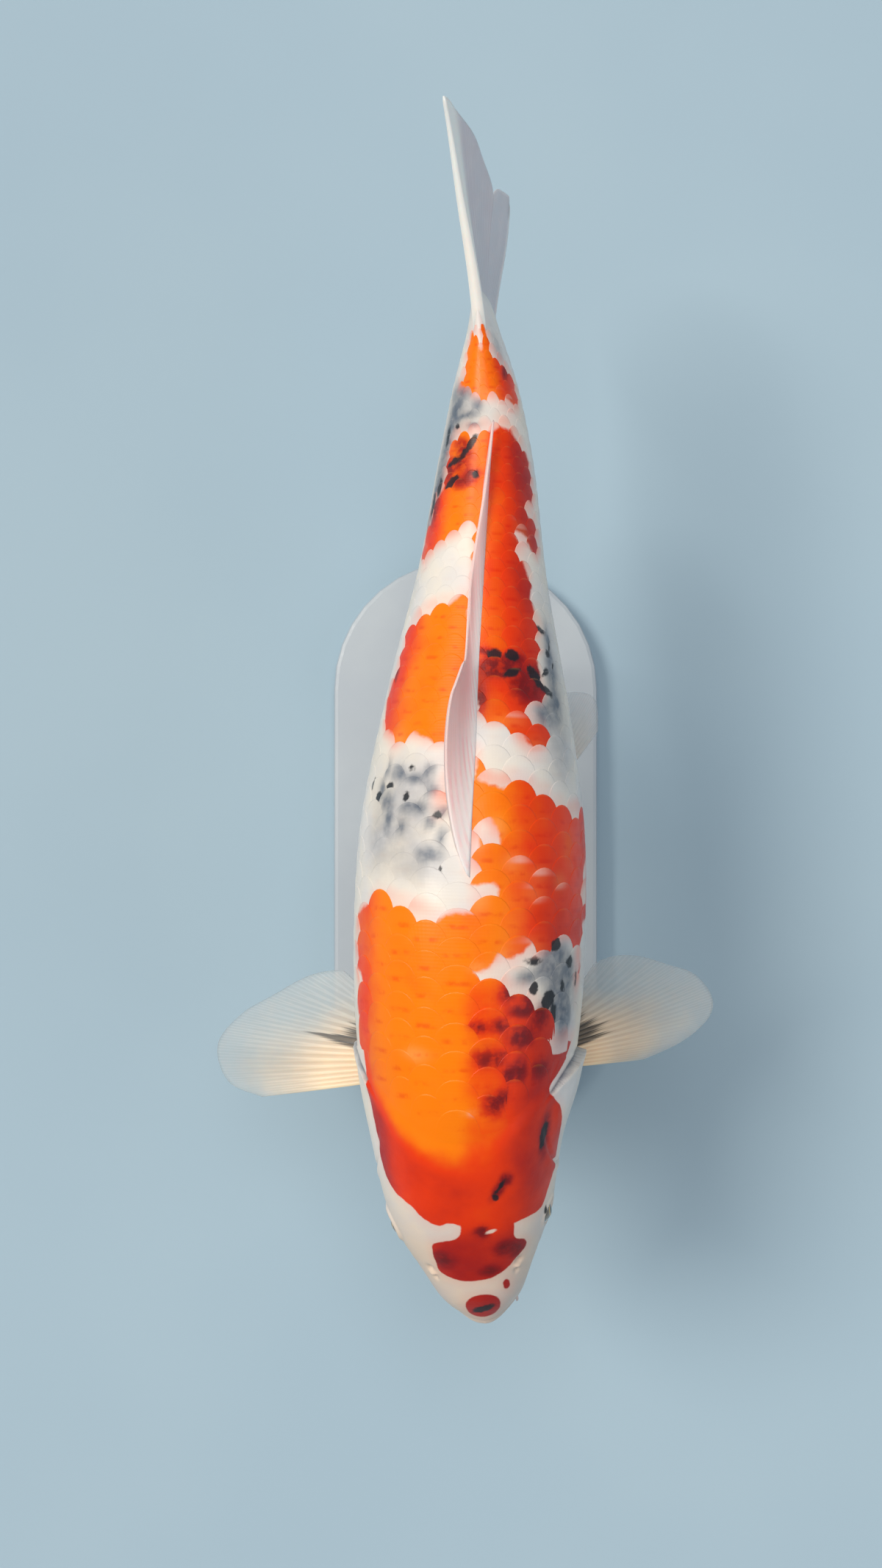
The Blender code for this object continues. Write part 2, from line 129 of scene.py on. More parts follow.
def reading(table, at):
    """A table's value at a distance from the snout, smooth between its entries."""
    return through(list(table), list(table.values()), np.clip(at, 0, FISH_LENGTH))


def section(along):
    """Half width, back, belly and squareness at a distance from the snout, smooth with its square root."""
    columns = np.array(list(STATIONS.values())).T
    return [through(np.sqrt(columns[0]), column, np.sqrt(along)) for column in columns[1:]]


def flesh(along, angle, grow=0.0):
    """The body's surface, in superellipse sections. Angle 0 is the fish's left, a quarter turn its back."""
    half, back, belly, square = section(along)
    middle, tall = (back + belly) / 2, (back - belly) / 2
    brow = BROW_SWELL * np.exp(-(((along - EYE_AT[1]) / 0.010) ** 2) - ((np.sin(angle) - 0.12) / 0.30) ** 2)
    across, up = np.cos(angle), np.sin(angle)
    x = (half * (1 + brow) + grow) * np.sign(across) * np.abs(across) ** (2 / square)
    z = middle + (tall + grow) * np.sign(up) * np.abs(up) ** (2 / square)
    return np.stack(np.broadcast_arrays(x, along, z), axis=-1)


def along_spine(points):
    """Lays straight points (across, from the snout, up) along the swaying spine, each section leant over."""
    x, along, z = np.moveaxis(np.asarray(points, float), -1, 0)
    heading = np.arctan2(reading(SWAY, along + 0.001) - reading(SWAY, along - 0.001), 0.002)
    lean = np.radians(reading(LEAN_DEG, along))
    across, up = x * np.cos(lean) - z * np.sin(lean), x * np.sin(lean) + z * np.cos(lean)
    leftward, rearward = reading(SWAY, along) + across * np.cos(heading), along - across * np.sin(heading)
    return np.stack([leftward, SNOUT_Y + rearward, AXIS_HEIGHT + up], -1)


def girth(along):
    """The mean radius of a section, which turns an angle round the body into a length."""
    half, back, belly, _ = section(along)
    return (half + (back - belly) / 2) / 2


def head_edge(angle):
    """How far from the snout the head ends: furthest back at the sides, over the gills."""
    end = np.where(np.sin(angle) > 0, NAPE, THROAT)
    return end + (GILL_EDGE - end) * np.cos(angle) ** 2


def off_ridge(angle):
    """The angle off the ridge of the back, positive on the fish's left, from -pi to pi."""
    return (math.pi / 2 - angle + math.pi) % (2 * math.pi) - math.pi


def bump(distance, width):
    """A smooth bell, 1 in the middle."""
    return np.exp(-((distance / width) ** 2))


def rise(value, low, high):
    """A smooth step from 0 at the low value to 1 at the high one."""
    t = np.clip((value - low) / (high - low), 0, 1)
    return t * t * (3 - 2 * t)


def head_relief_mm(points, angle):
    """How far the head's folds stand out, in mm: lips and mouth, nostrils, eye rims, cheek and gill covers.

    Each fold is a bell across the distance from its line, times smooth steps that end it along the line.
    """
    across, along, up = np.moveaxis(points, -1, 0)
    turn = np.abs(np.degrees(off_ridge(angle)))
    from_mouth = (up - MOUTH_START + MOUTH_SLOPE * along) * 1000 / math.hypot(1, MOUTH_SLOPE)
    near_mouth = 1 - rise(along, MOUTH_LENGTH - 0.009, MOUTH_LENGTH + 0.001)
    folds = (height * bump(from_mouth - at, wide) for height, at, wide in MOUTH_FOLDS_MM.values())
    relief = near_mouth * sum(folds)
    from_corner = np.hypot(along - MOUTH_LENGTH, up - MOUTH_START + MOUTH_SLOPE * MOUTH_LENGTH) * 1000
    relief -= 1.1 * bump(from_corner - 4.5, 1.2) * rise(along, MOUTH_LENGTH - 0.004, MOUTH_LENGTH + 0.002)

    forward = (along - NOSTRIL_AT) * 1000
    sideways = np.radians(turn - NOSTRIL_DEG) * girth(along) * 1000
    relief += 1.4 * bump(forward, 1.1) * bump(sideways, 2.4)
    relief -= 1.2 * bump(np.hypot(forward + 2.6, sideways), 1.5)
    relief -= 1.5 * bump(np.hypot(forward - 2.7, sideways * 0.8), 1.8)

    from_eye = np.hypot(along - EYE_AT[1], up - EYE_AT[2]) * 1000
    beside = np.abs(across) > 0.02
    above = rise(up - EYE_AT[2], -0.002, 0.006)
    lids = (0.32 + (0.28 + 0.6 * (across < 0)) * above) * bump(from_eye - 7.9, 1.1)
    lids -= 0.2 * bump(from_eye - 10.4, 1.2)
    relief += beside * (lids - SOCKET_DEPTH_MM * (1 - rise(from_eye, 5.7, 7.5)))
    below = rise(EYE_AT[2] - up, -0.004, 0.006)
    relief -= beside * below * (0.40 * bump(from_eye - 15.0, 1.6) + 0.30 * bump(from_eye - 21.0, 1.6))

    from_cover = np.hypot(along - GILL_COVER_AT[0], up - GILL_COVER_AT[1]) * 1000
    on_side = rise(turn, 50, 64) * (1 - rise(turn, 150, 170)) * (along < GILL_EDGE)
    plate_edge = from_cover - GILL_COVER_RADIUS * 1000
    plates = 1.0 * bump(from_cover, 30) + 0.5 * bump(plate_edge - 3.0, 2.2) - 1.5 * bump(plate_edge, 1.1)
    plates -= 0.8 * bump(up * 1000 + 27 + 0.25 * (along - 0.10) * 1000, 1.0) * rise(along, 0.088, 0.094)
    from_hinge = np.hypot(along - GILL_HINGE[0], up - GILL_HINGE[1]) * 1000
    spoke = np.arctan2(up - GILL_HINGE[1], along - GILL_HINGE[0])
    plates += 0.07 * np.sin(34 * spoke) * rise(from_hinge, 9, 18) * (1 - rise(plate_edge, -4, -1))
    relief += on_side * plates
    past_edge = (along - head_edge(angle)) * 1000
    open_gill = rise(turn, 46, 62) * (1 - rise(turn, 168, 178))
    stands_open = GILL_OPEN_MM * (across > 0) * rise(turn, 52, 74) * rise(past_edge, -52, -8)
    relief += open_gill * np.where(past_edge < 0, GILL_RIM_MM * bump(past_edge, 5.0) + stands_open, 0)
    step_down = (GILL_STEP_MM + stands_open) * rise(past_edge, 0, 1.0) * (past_edge < 1.0)
    behind = np.where(past_edge < 1.0, GILL_RIM_MM + stands_open, -1.1 * bump(past_edge - 1.0, 1.6))
    relief += open_gill * (past_edge >= 0) * (behind - step_down)
    under = rise(turn, 140, 152) * bump(along - 0.070, 0.018)
    relief -= under * 0.9 * (bump(turn - 156, 2.2) + bump(turn - 168, 2.2))
    return relief


def outward(points):
    """Unit normals of a grid that closes on itself around, from the cross product of its slopes."""
    down = np.gradient(points, axis=0)
    round_it = np.roll(points, -1, axis=1) - np.roll(points, 1, axis=1)
    normal = np.cross(down, round_it)
    return normal / np.maximum(np.linalg.norm(normal, axis=-1, keepdims=True), 1e-12)


def skin_grid():
    """Rows crowd to the snout as a power of their number. Relief is added along the normals."""
    head = HEAD_END * np.linspace(1 / SKIN_ROWS_HEAD, 1, SKIN_ROWS_HEAD) ** 1.6
    end = STATIONS["flesh end"][0]
    body = np.linspace(HEAD_END, end, SKIN_ROWS_BODY + 1)[1:]
    along = np.concatenate([head, body])[:, None]
    angle = np.linspace(0, 2 * math.pi, SKIN_AROUND, endpoint=False)[None, :] + 0 * along
    sunk_from = 0.0050 + 0.0090 * rise(np.sin(angle), 0.45, 0.75)
    covered = rise(along - head_edge(angle), 0.0005, sunk_from) * (1 - rise(along, 0.505, 0.515))
    straight = flesh(along + 0 * angle, angle, -COAT_DEPTH * covered)
    placed = along_spine(straight)
    relief = head_relief_mm(straight, angle) / 1000
    relief[:1] = relief[:1].mean()
    return along + 0 * angle, angle, placed + relief[..., None] * outward(placed)


def make_piece(name, points, quads, triangles=()):
    """A new object at the origin from points, four-sided faces and triangles, shaded smooth."""
    mesh = bpy.data.meshes.new(name)
    quads, triangles = np.asarray(quads).reshape(-1, 4), np.asarray(triangles, int).reshape(-1, 3)
    corners = np.concatenate([quads.ravel(), triangles.ravel()]).astype(np.int32)
    sizes = np.concatenate([np.full(len(quads), 4), np.full(len(triangles), 3)])
    mesh.vertices.add(len(points))
    mesh.vertices.foreach_set("co", np.asarray(points, np.float32).ravel())
    mesh.loops.add(len(corners))
    mesh.loops.foreach_set("vertex_index", corners)
    mesh.polygons.add(len(sizes))
    mesh.polygons.foreach_set("loop_start", np.concatenate([[0], np.cumsum(sizes)[:-1]]).astype(np.int32))
    mesh.update(calc_edges=True)
    mesh.validate()
    mesh.shade_smooth()
    made = bpy.data.objects.new(name, mesh)
    bpy.context.scene.collection.objects.link(made)
    return made


def paint(piece, name, values):
    """Keeps four values a point on the piece, for its material to read."""
    layer = piece.data.attributes.new(name, "FLOAT_COLOR", "POINT")
    layer.data.foreach_set("color", np.asarray(values, np.float32).ravel())


def unwrap(piece, corner_uv):
    """Gives the piece the map that its colours are baked to, one place for each corner of each face."""
    layer = piece.data.uv_layers.new(name="OFBake")
    layer.data.foreach_set("uv", np.asarray(corner_uv, np.float32).ravel())


def around_quads(rows, around):
    """Faces of a grid that closes on itself around, facing out."""
    i, j = np.meshgrid(np.arange(rows - 1), np.arange(around), indexing="ij")
    following = (j + 1) % around
    corners = (i * around + j, (i + 1) * around + j, (i + 1) * around + following, i * around + following)
    return np.stack(corners, -1).reshape(-1, 4)


def end_caps(rows, around):
    """Triangles that close such a grid's ends on two more points: the first end's, then the last end's."""
    j = np.arange(around)
    following, last = (j + 1) % around, (rows - 1) * around
    front = np.stack([0 * j + rows * around, j, following], -1)
    rear = np.stack([0 * j + rows * around + 1, last + following, last + j], -1)
    return np.concatenate([front, rear])


# The markings: red patches, white gaps in them, and black and grey spots; some of the grey is painted
# shade on the fish's left flank. Each patch is a smooth closed curve through a few places, each given as mm
# from the snout and degrees off the ridge, positive on the fish's left.
RED_PATCHES = {
    "head": [
        (29, -16), (28, 2), (29, 15), (32, 28), (37, 38), (43, 48), (47, 45), (50, 33), (57, 31), (65, 27),
        (66, 0), (57, -3), (53, -8), (51, -24), (46, -29), (40, -31), (34, -32),
    ],
    "nape and shoulders": [
        (60, 0), (62, -8), (61, -17), (66, -28), (70, -32), (74, -40), (78, -48), (88, -56), (110, -56),
        (140, -59), (170, -62), (195, -67), (210, -64), (217, -52), (224, -44), (224, -38), (222, -31),
        (219, -18), (215, -9), (210, -5), (215, -2), (216, 7), (222, 11), (230, 15), (240, 20), (240, 82),
        (220, 84), (204, 78), (160, 72), (150, 69), (140, 62), (130, 52), (124, 57), (118, 64), (105, 70),
        (85, 73), (72, 65), (63, 58), (60, 42), (58, 25),
    ],
    "flank": [
        (293, 3), (286, 6), (282, 10), (280, 16), (282, 23), (280, 32), (276, 38), (275, 44), (270, 47),
        (270, 53), (267, 61), (268, 76), (262, 92), (245, 98), (225, 96), (214, 88), (214, 20), (232, 16),
        (232, 6), (243, 5), (250, 3), (272, 0),
    ],
    "behind the dorsal front, left": [
        (418, 50), (411, 61), (400, 67), (393, 62), (400, 52), (404, 40), (403, 28), (395, 35), (387, 41),
        (380, 45), (372, 42), (363, 46), (356, 52), (350, 46), (346, 49), (342, 43), (333, 44), (322, 47),
        (319, 36), (314, 33), (309, 38), (306, 44), (301, 44), (298, 32), (303, 27), (310, 22), (309, 12),
        (314, 4), (335, -2), (380, -2), (420, -6), (450, 0), (454, 14), (457, 22), (456, 34), (450, 46),
        (440, 59), (430, 64), (419, 62),
    ],
    "behind the dorsal front, right": [
        (369, -9), (366, -17), (365, -30), (362, -46), (357, -55), (350, -60), (336, -63), (322, -70),
        (312, -67), (304, -62), (299, -48), (301, -32), (298, -20), (301, -10), (320, 0), (355, 0),
    ],
    "before the tail, right": [
        (454, 4), (452, -12), (453, -25), (450, -41), (440, -46), (428, -50), (419, -64), (406, -70),
        (394, -74), (392, -58), (397, -42), (401, -28), (408, -15), (414, -4), (440, 2),
    ],
    "tail root": [
        (505, -22), (501, -14), (494, 0), (500, 4), (507, 11), (501, 18), (494, 22), (489, 38), (484, 55),
        (475, 66), (468, 54), (470, 38), (472, 22), (471, 2), (472, -12), (476, -22), (477, -42),
        (482, -40), (484, -33), (488, -37), (496, -33),
    ],
}
WHITE_GAPS = {
    "shoulder": [
        (189, 2), (193, 8), (193, 13), (199, 18), (200, 27), (206, 35), (202, 45), (206, 55), (204, 68),
        (209, 78), (206, 100), (150, 100), (156, 68), (154, 56), (158, 48), (167, 46), (174, 38), (180, 30),
        (180, 26), (186, 19), (184, 12), (181, 9), (186, 6),
    ],
    "beside the dorsal, front": [
        (216, 9), (221, 10), (228, 14), (232, 14), (232, 4), (220, 2),
    ],
    "beside the dorsal, rear": [
        (246, 4), (254, 5), (261, 6), (261, 12), (256, 15), (249, 12),
    ],
    "pale crescent": [
        (211, 50), (209, 55), (204, 58), (203, 55), (207, 52),
    ],
}
# Spots: mm from the snout, degrees off the ridge, half length and width in mm, and for some a turn in degrees
RED_SPOTS = [
    (12, 4, 7.5, 8.5), (23.5, 33, 3, 2, -25), (272, -10, 3.5, 1.8, 10), (189, 71, 4, 1.4),
]
WHITE_SPOTS = [
    (55.5, 13.5, 1.0, 2.6, -15), (184, -58, 3.5, 3), (226, 36, 2.5, 5, 20), (231, 59, 3, 2),
    (237, 84, 4, 3), (226, 82, 4, 4), (335, 5, 1.5, 2), (242, 11, 2, 1),
]
BLACK_SPOTS = [
    (10.5, 3, 1.9, 4.9, -14), (60.5, 66, 1.6, 0.8), (74.5, 17.5, 1.7, 1.5), (79.5, 20, 3.8, 0.8, 36),
    (105, 52, 7, 2.6, 6), (284.5, -29, 1.4, 1.7), (276, -43, 1.9, 2.3), (270.5, -52, 2.1, 2.7),
    (271, -30, 2.0, 1.8), (262.5, -12, 2.3, 2.1, 20), (277, -61, 2.8, 1.0), (236.5, -7.5, 1.5, 0.9),
    (194, 35.5, 1.8, 5.2, 5), (201, 49.5, 3.0, 4.4), (192, 61, 2.8, 4.2), (181, 36.5, 2.7, 2.7, 30),
    (181.5, 55.5, 3.4, 1.6, -20), (175, 45.5, 4.6, 4.8), (169, 50, 4.4, 2.0, -15), (184, 68.5, 4.5, 1.2),
    (341.5, 13.5, 2.2, 3.6), (341, 26, 2.3, 3.4), (332.5, 25, 2.1, 5.6, -20), (330.5, 43, 7.0, 2.7, -39),
    (324.5, 52, 4.4, 2.0, -60), (334, 53, 1.9, 3.2, -30), (355, 54, 1.5, 3.4, 30), (347, 62, 2.0, 1.1),
    (343.5, 58, 1.8, 1.6), (337.5, 63, 1.3, 1.0), (447, -15.5, 4.4, 1.8, 38), (441.5, -25, 4.8, 1.2, 44),
    (438, -37, 4.4, 1.4, 71), (430.5, -10, 2.0, 1.8, 30), (427.5, -38, 5.0, 1.9, 59), (426, -58, 4, 2.0),
    (417, -68, 6, 1.6), (456, -39, 1.4, 1.6), (452, -57, 4, 1.2),
]
DARK_CLOUDS = [
    (41.5, -22, 4, 5), (43.5, 37, 4, 5.5, 30), (45, 24, 3.5, 4), (33, 13, 2.5, 4), (56, 8, 3, 3),
    (79, 20, 6, 2.4, 36), (84, 25, 3, 3), (105, 53, 10, 3.5), (124.5, 17, 5.5, 5), (129, 21, 3, 3),
    (141, 30, 5, 3.6), (139.5, 24.5, 3.5, 2.8), (147, 13, 4.5, 6), (147.5, 20, 3, 3), (141, 43, 4.5, 5),
    (157.5, 30, 4.5, 7.5), (162.7, 9.5, 2.2, 4.4), (163.5, 19, 3, 4.6), (168, 41, 5.5, 4.5),
    (170.5, 30, 2.6, 7), (175, 36, 4.5, 6), (178.5, 22, 3.8, 4.6), (335, 13, 5, 8), (342, 7, 1.6, 4),
    (338.5, 26, 3.5, 6.5), (333, 20, 2.6, 8), (326, 36, 7, 10), (317, 5, 8, 3), (332, 46, 4, 4),
    (444, -27, 4, 7, 40), (436, -31, 3, 6), (433, -44, 6, 4), (427, -26, 3, 7), (431, -15, 2.6, 5),
    (416, -62, 9, 4), (484, 48, 2.2, 5, -50), (331, -61, 3, 1.5),
]
# Grey spots: grey markings, and on the fish's left flank over the shoulder and behind the dorsal fin, painted
# shade.
GREY_AND_SHADE_CLOUDS = [
    (284, -18.5, 3, 3.5), (279.5, -25, 2.8, 8), (282, -38, 3.5, 5), (274, -15.5, 3.5, 4),
    (265.5, -24, 3, 8.5), (264, -9.5, 3.5, 3.5), (258.5, -15, 3, 2.6), (252, -9, 4.5, 3),
    (244, -14, 3.4, 6), (259, -40.5, 5.5, 2.8), (268, -43, 4, 4), (256, -31, 3.5, 3),
    (284.5, -47, 4.5, 1.8), (273, -50, 5, 3), (198, 42, 4, 5), (196, 52, 6, 7), (189, 44, 6, 9),
    (186, 31, 3, 5.5), (186, 60, 8, 8), (178, 50, 8, 8), (170, 56, 8, 8), (163, 59, 7, 6), (172, 41, 3, 3),
    (474, -38, 5.5, 11), (466, -9.5, 3.4, 3.2), (461, -24, 1.8, 7), (455.5, -15, 1.6, 4), (464, -46, 8, 6),
    (452, -54, 10, 5), (438, -60, 11, 5), (423, -66, 10, 5), (409, -74, 8, 4), (313, 48, 7, 8),
    (318, 60, 8, 5), (335, 60, 9, 5), (350, 61, 8, 3),
]
# Broad faint grey clouds: smoky tone, and on the fish's left flank, painted shade.
SMOKE_AND_SHADE_CLOUDS = [
    (262, -35, 24, 20), (240, -20, 9, 14), (250, -45, 14, 10), (178, 62, 24, 14), (157, 57, 6, 5),
    (300, 60, 20, 12), (332, 62, 26, 9), (462, -32, 10, 15), (432, -62, 30, 9), (495, 40, 8, 4),
]
BLUSH_CLOUDS = [  # paler on the red, pinker on the white
    (148, -19, 3, 6.5), (241.5, 25.5, 3.5, 6), (235.5, 38, 4, 6), (232, 52, 4, 5), (257, 15, 5, 4),
    (120, 6, 2, 3), (400, 42, 7, 4, -30), (470, 12, 3, 5), (200, 36, 5, 7), (195, 23, 4.5, 7),
    (190.5, 9, 2.5, 5), (223, 8, 6, 5), (226, 36, 4, 6), (252, 8, 5, 4), (246, 3, 5, 2.5), (296, 38, 5, 7),
    (309, 24, 3, 8), (297, -45, 5, 6), (389, -62, 5, 5), (466, 40, 5, 8),
]
FAR_MM = 9.0


def rounded(places_mm_deg, steps=5):
    """A closed curve through given points, as (from the snout, round the body) in metres.

    Between two points it is the cubic whose slope at each is half the step between that point's neighbours.
    """
    places = np.array(places_mm_deg, float)
    before, after, beyond = np.roll(places, 1, 0), np.roll(places, -1, 0), np.roll(places, -2, 0)
    t = (np.arange(steps) / steps)[None, :, None]
    before, here, after, beyond = (part[:, None] for part in (before, places, after, beyond))
    curve = here + 0.5 * t * (after - before) + t * t * (before - 2.5 * here + 2 * after - 0.5 * beyond)
    curve = (curve + t**3 * (1.5 * (here - after) + 0.5 * (beyond - before))).reshape(-1, 2)
    along = curve[:, 0] / 1000
    return np.stack([along, np.radians(curve[:, 1]) * girth(along)], -1)


def inside_mm(outline, places):
    """How deep places lie inside a closed outline, in mm: negative outside, and no less than -FAR_MM."""
    depth = np.full(len(places), -FAR_MM)
    margin = FAR_MM / 1000
    near = np.all((places > outline.min(0) - margin) & (places < outline.max(0) + margin), axis=1)
    start, end = outline, np.roll(outline, -1, 0)
    side = end - start
    length2 = np.maximum((side**2).sum(1), 1e-12)
    for part in np.array_split(np.flatnonzero(near), max(1, near.sum() // 6000)):
        place = places[part][:, None]
        share = np.clip(((place - start) * side).sum(-1) / length2, 0, 1)
        gap = np.sqrt((((place - start) - share[..., None] * side) ** 2).sum(-1)).min(1) * 1000
        spans = (start[:, 1] > place[..., 1]) != (end[:, 1] > place[..., 1])
        flat = np.where(np.abs(side[:, 1]) < 1e-12, 1e-12, side[:, 1])
        ahead = place[..., 0] < start[:, 0] + (place[..., 1] - start[:, 1]) * side[:, 0] / flat
        depth[part] = np.where((spans & ahead).sum(1) % 2 == 1, gap, -np.minimum(gap, FAR_MM))
    return depth


def spot_radius(spots, along, turn):
    """For each spot, how far out a place lies as a share of the spot's radius, and the spot's size in mm."""
    for spot in spots:
        centre_mm, centre_deg, half_long, half_wide, twist_deg = (*spot, 0)[:5]
        forward = along * 1000 - centre_mm
        sideways = (turn - math.radians(centre_deg)) * girth(along) * 1000
        twist = math.radians(twist_deg)
        a = forward * math.cos(twist) + sideways * math.sin(twist)
        b = sideways * math.cos(twist) - forward * math.sin(twist)
        yield np.hypot(a / half_long, b / half_wide), min(half_long, half_wide)


def spots_mm(spots, along, turn):
    """The depth inside the nearest spot, in mm."""
    depth = np.full(along.shape, -FAR_MM)
    for radius, size in spot_radius(spots, along, turn):
        depth = np.maximum(depth, (1 - radius) * size)
    return depth


def clouds(spots, along, turn):
    """Soft spots, from 0 to 1, that add up where they overlap."""
    clear = np.ones(along.shape)
    for radius, _ in spot_radius(spots, along, turn):
        clear *= 1 - 0.9 * np.exp(-((radius / 1.12) ** 2.6))
    return 1 - clear


def red_depth_mm(along, turn):
    """The depth inside the red patches, in mm, with the white gaps taken out and the red spots put in."""
    places = np.stack([along, turn * girth(along)], -1)
    depth = np.max([inside_mm(rounded(patch), places) for patch in RED_PATCHES.values()], axis=0)
    gaps = np.max([inside_mm(rounded(gap), places) for gap in WHITE_GAPS.values()], axis=0)
    depth = np.minimum(depth, -np.maximum(gaps, spots_mm(WHITE_SPOTS, along, turn)))
    return np.maximum(depth, spots_mm(RED_SPOTS, along, turn))


def markings(patch_place, spot_place, own):
    """The markings of a piece's points, as two sets of four values a point.

    First: depth in the red where the patch is read and at the spot's own place, depth in the black, all in
    mm, and the grey, which also holds painted shade on the fish's left flank and painted shadow in the gill
    openings. Second: darkness under the red, how deep a red it is, which also holds painted shade that
    deepens the red on the head, past the ridge and down the fish's left side, paleness, and the scale's own
    chance value. A place is a distance from the snout and an angle off the ridge.
    """
    patch_place, spot_place = ([part.ravel() for part in place] for place in (patch_place, spot_place))
    along, turn = spot_place
    side = np.degrees(turn)
    past_head = along - head_edge(math.pi / 2 - turn)
    on_head, to_muzzle = 1 - rise(past_head, -0.010, 0.013), 1 - rise(along, 0.045, 0.062)
    # Painted shade mixed with the red's own tone: the red is set deeper on the head, in a step just past the
    # ridge, and down the fish's left side, which faces away from the key lamp.
    body_depth_and_shade = 0.38 * rise(side, -3, 8) * (1 - 0.6 * rise(along, 0.176, 0.200)) + 0.60 * rise(side, 12, 44)
    body_depth_and_shade *= 1 - 0.18 * rise(along, 0.21, 0.26)
    head_depth_and_shade = 0.66 + 0.24 * rise(side, 5, 45) * (1 - to_muzzle)
    deep = body_depth_and_shade * (1 - on_head) + on_head * head_depth_and_shade + 0.40 * to_muzzle
    rear_left = rise(along, 0.30, 0.33) * rise(side, -2, 8) * (1 - rise(along, 0.452, 0.462))
    deep += 0.50 * rise(-side, 34, 60) + 0.14 * rise(along, 0.27, 0.30) + 0.22 * rear_left
    over_gills = rise(np.abs(side), 46, 58) * (1 - rise(np.abs(side), 150, 165))
    # Painted shadow: a dark band just behind the head's edge over the gills, in the gill openings, carried in
    # the grey.
    gill_slit_shadow = 0.95 * bump(past_head - 0.0016, 0.0015) * over_gills
    smoke = (1 - clouds(GREY_AND_SHADE_CLOUDS, along, turn)) * (1 - 0.46 * clouds(SMOKE_AND_SHADE_CLOUDS, along, turn))
    black, grey = spots_mm(BLACK_SPOTS, along, turn), 1 - smoke * (1 - gill_slit_shadow)
    dark, pale = clouds(DARK_CLOUDS, along, turn), clouds(BLUSH_CLOUDS, along, turn)
    first = (red_depth_mm(*patch_place), red_depth_mm(along, turn), black, grey)
    return np.stack(first, -1), np.stack([dark, np.clip(deep, 0, 1.25), pale, own.ravel()], -1)


class Wire:
    """A value in a shader's tree. Reckoning adds Math nodes. A name gives another output of its node."""

    def __init__(self, socket):
        self.socket = socket

    def __getitem__(self, output):
        return Wire(self.socket.node.outputs[output])

    def __add__(self, other):
        return calc("ADD", self, other)

    def __radd__(self, other):
        return calc("ADD", other, self)

    def __sub__(self, other):
        return calc("SUBTRACT", self, other)

    def __rsub__(self, other):
        return calc("SUBTRACT", other, self)

    def __mul__(self, other):
        return calc("MULTIPLY", self, other)

    def __truediv__(self, other):
        return calc("DIVIDE", self, other)

    def __abs__(self):
        return calc("ABSOLUTE", self)


def fill(inputs, values):
    """Links wires to a node's inputs and sets plain values in them."""
    for name, value in values.items():
        if isinstance(value, Wire):
            value.socket.id_data.links.new(value.socket, inputs[name])
        else:
            inputs[name].default_value = value


def node(tree, kind, values=(), output=0, **settings):
    """Adds a shader node, sets it up, fills its inputs and gives one of its outputs."""
    made = tree.nodes.new("ShaderNode" + kind)
    for name, value in settings.items():
        setattr(made, name, value)
    fill(made.inputs, dict(values))
    return Wire(made.outputs[output])


def tree_of(*values):
    """The tree that the wires among some values are in."""
    return next(value.socket.id_data for value in values if isinstance(value, Wire))


def calc(operation, *values):
    return node(tree_of(*values), "Math", enumerate(values), operation=operation)


def mixed(share, first, second, blend_type="MIX"):
    values = {0: share, 6: first, 7: second}
    return node(tree_of(share, first, second), "Mix", values, 2, data_type="RGBA", blend_type=blend_type)


def stepped(value, low, high, to_low=0.0, to_high=1.0):
    """A smooth step of a value between two others."""
    values = {0: value, 1: low, 2: high, 3: to_low, 4: to_high}
    return node(tree_of(value), "MapRange", values, interpolation_type="SMOOTHSTEP")


def grain(tree, size_mm, detail=3.0):
    """Even noise on the piece itself, about 0.5 in the middle, with grains of the given size."""
    place = node(tree, "TexCoord")["Object"]
    return node(tree, "TexNoise", {"Vector": place, "Scale": 1000 / size_mm, "Detail": detail})


def drifting(tree, size_mm, low=0.0, high=1.0):
    """A value that drifts between two others over the piece."""
    return stepped(grain(tree, size_mm), 0.3, 0.7, low, high)


def bumped(height, strength, distance):
    return node(tree_of(height), "Bump", {"Height": height, "Strength": strength, "Distance": distance})


def painted(tree, name):
    """The four values that paint() keeps under a name."""
    kept = node(tree, "Attribute", attribute_name=name)
    parts = node(tree, "SeparateColor", {0: kept["Color"]})
    return parts[0], parts[1], parts[2], kept["Alpha"]


def new_group(name, inputs, outputs):
    """An empty node group with named inputs and outputs, each given as its kind of socket."""
    group = bpy.data.node_groups.new(name, "ShaderNodeTree")
    for way, sockets in (("INPUT", inputs), ("OUTPUT", outputs)):
        for socket, kind in sockets.items():
            group.interface.new_socket(socket, in_out=way, socket_type="NodeSocket" + kind)
    given = Wire(group.nodes.new("NodeGroupInput").outputs[0])
    return group, given, group.nodes.new("NodeGroupOutput").inputs


# smoke is the blue-grey of the grey markings and of the painted shade on the fish's left flank.
PAINTS = {  # the coat's colours, as red, green, blue and 1
    "cream": (0.87, 0.78, 0.67, 1), "white": (0.79, 0.74, 0.70, 1), "smoke": (0.086, 0.114, 0.158, 1),
    "pink": (0.97, 0.48, 0.40, 1), "veiled red": (0.96, 0.26, 0.16, 1), "orange": (1.0, 0.215, 0.001, 1),
    "red": (0.88, 0.045, 0.003, 1), "deep red": (0.40, 0.011, 0.011, 1),
    "stained red": (0.115, 0.009, 0.012, 1), "blush": (1.0, 0.42, 0.12, 1), "black": (0.014, 0.016, 0.021, 1),
}


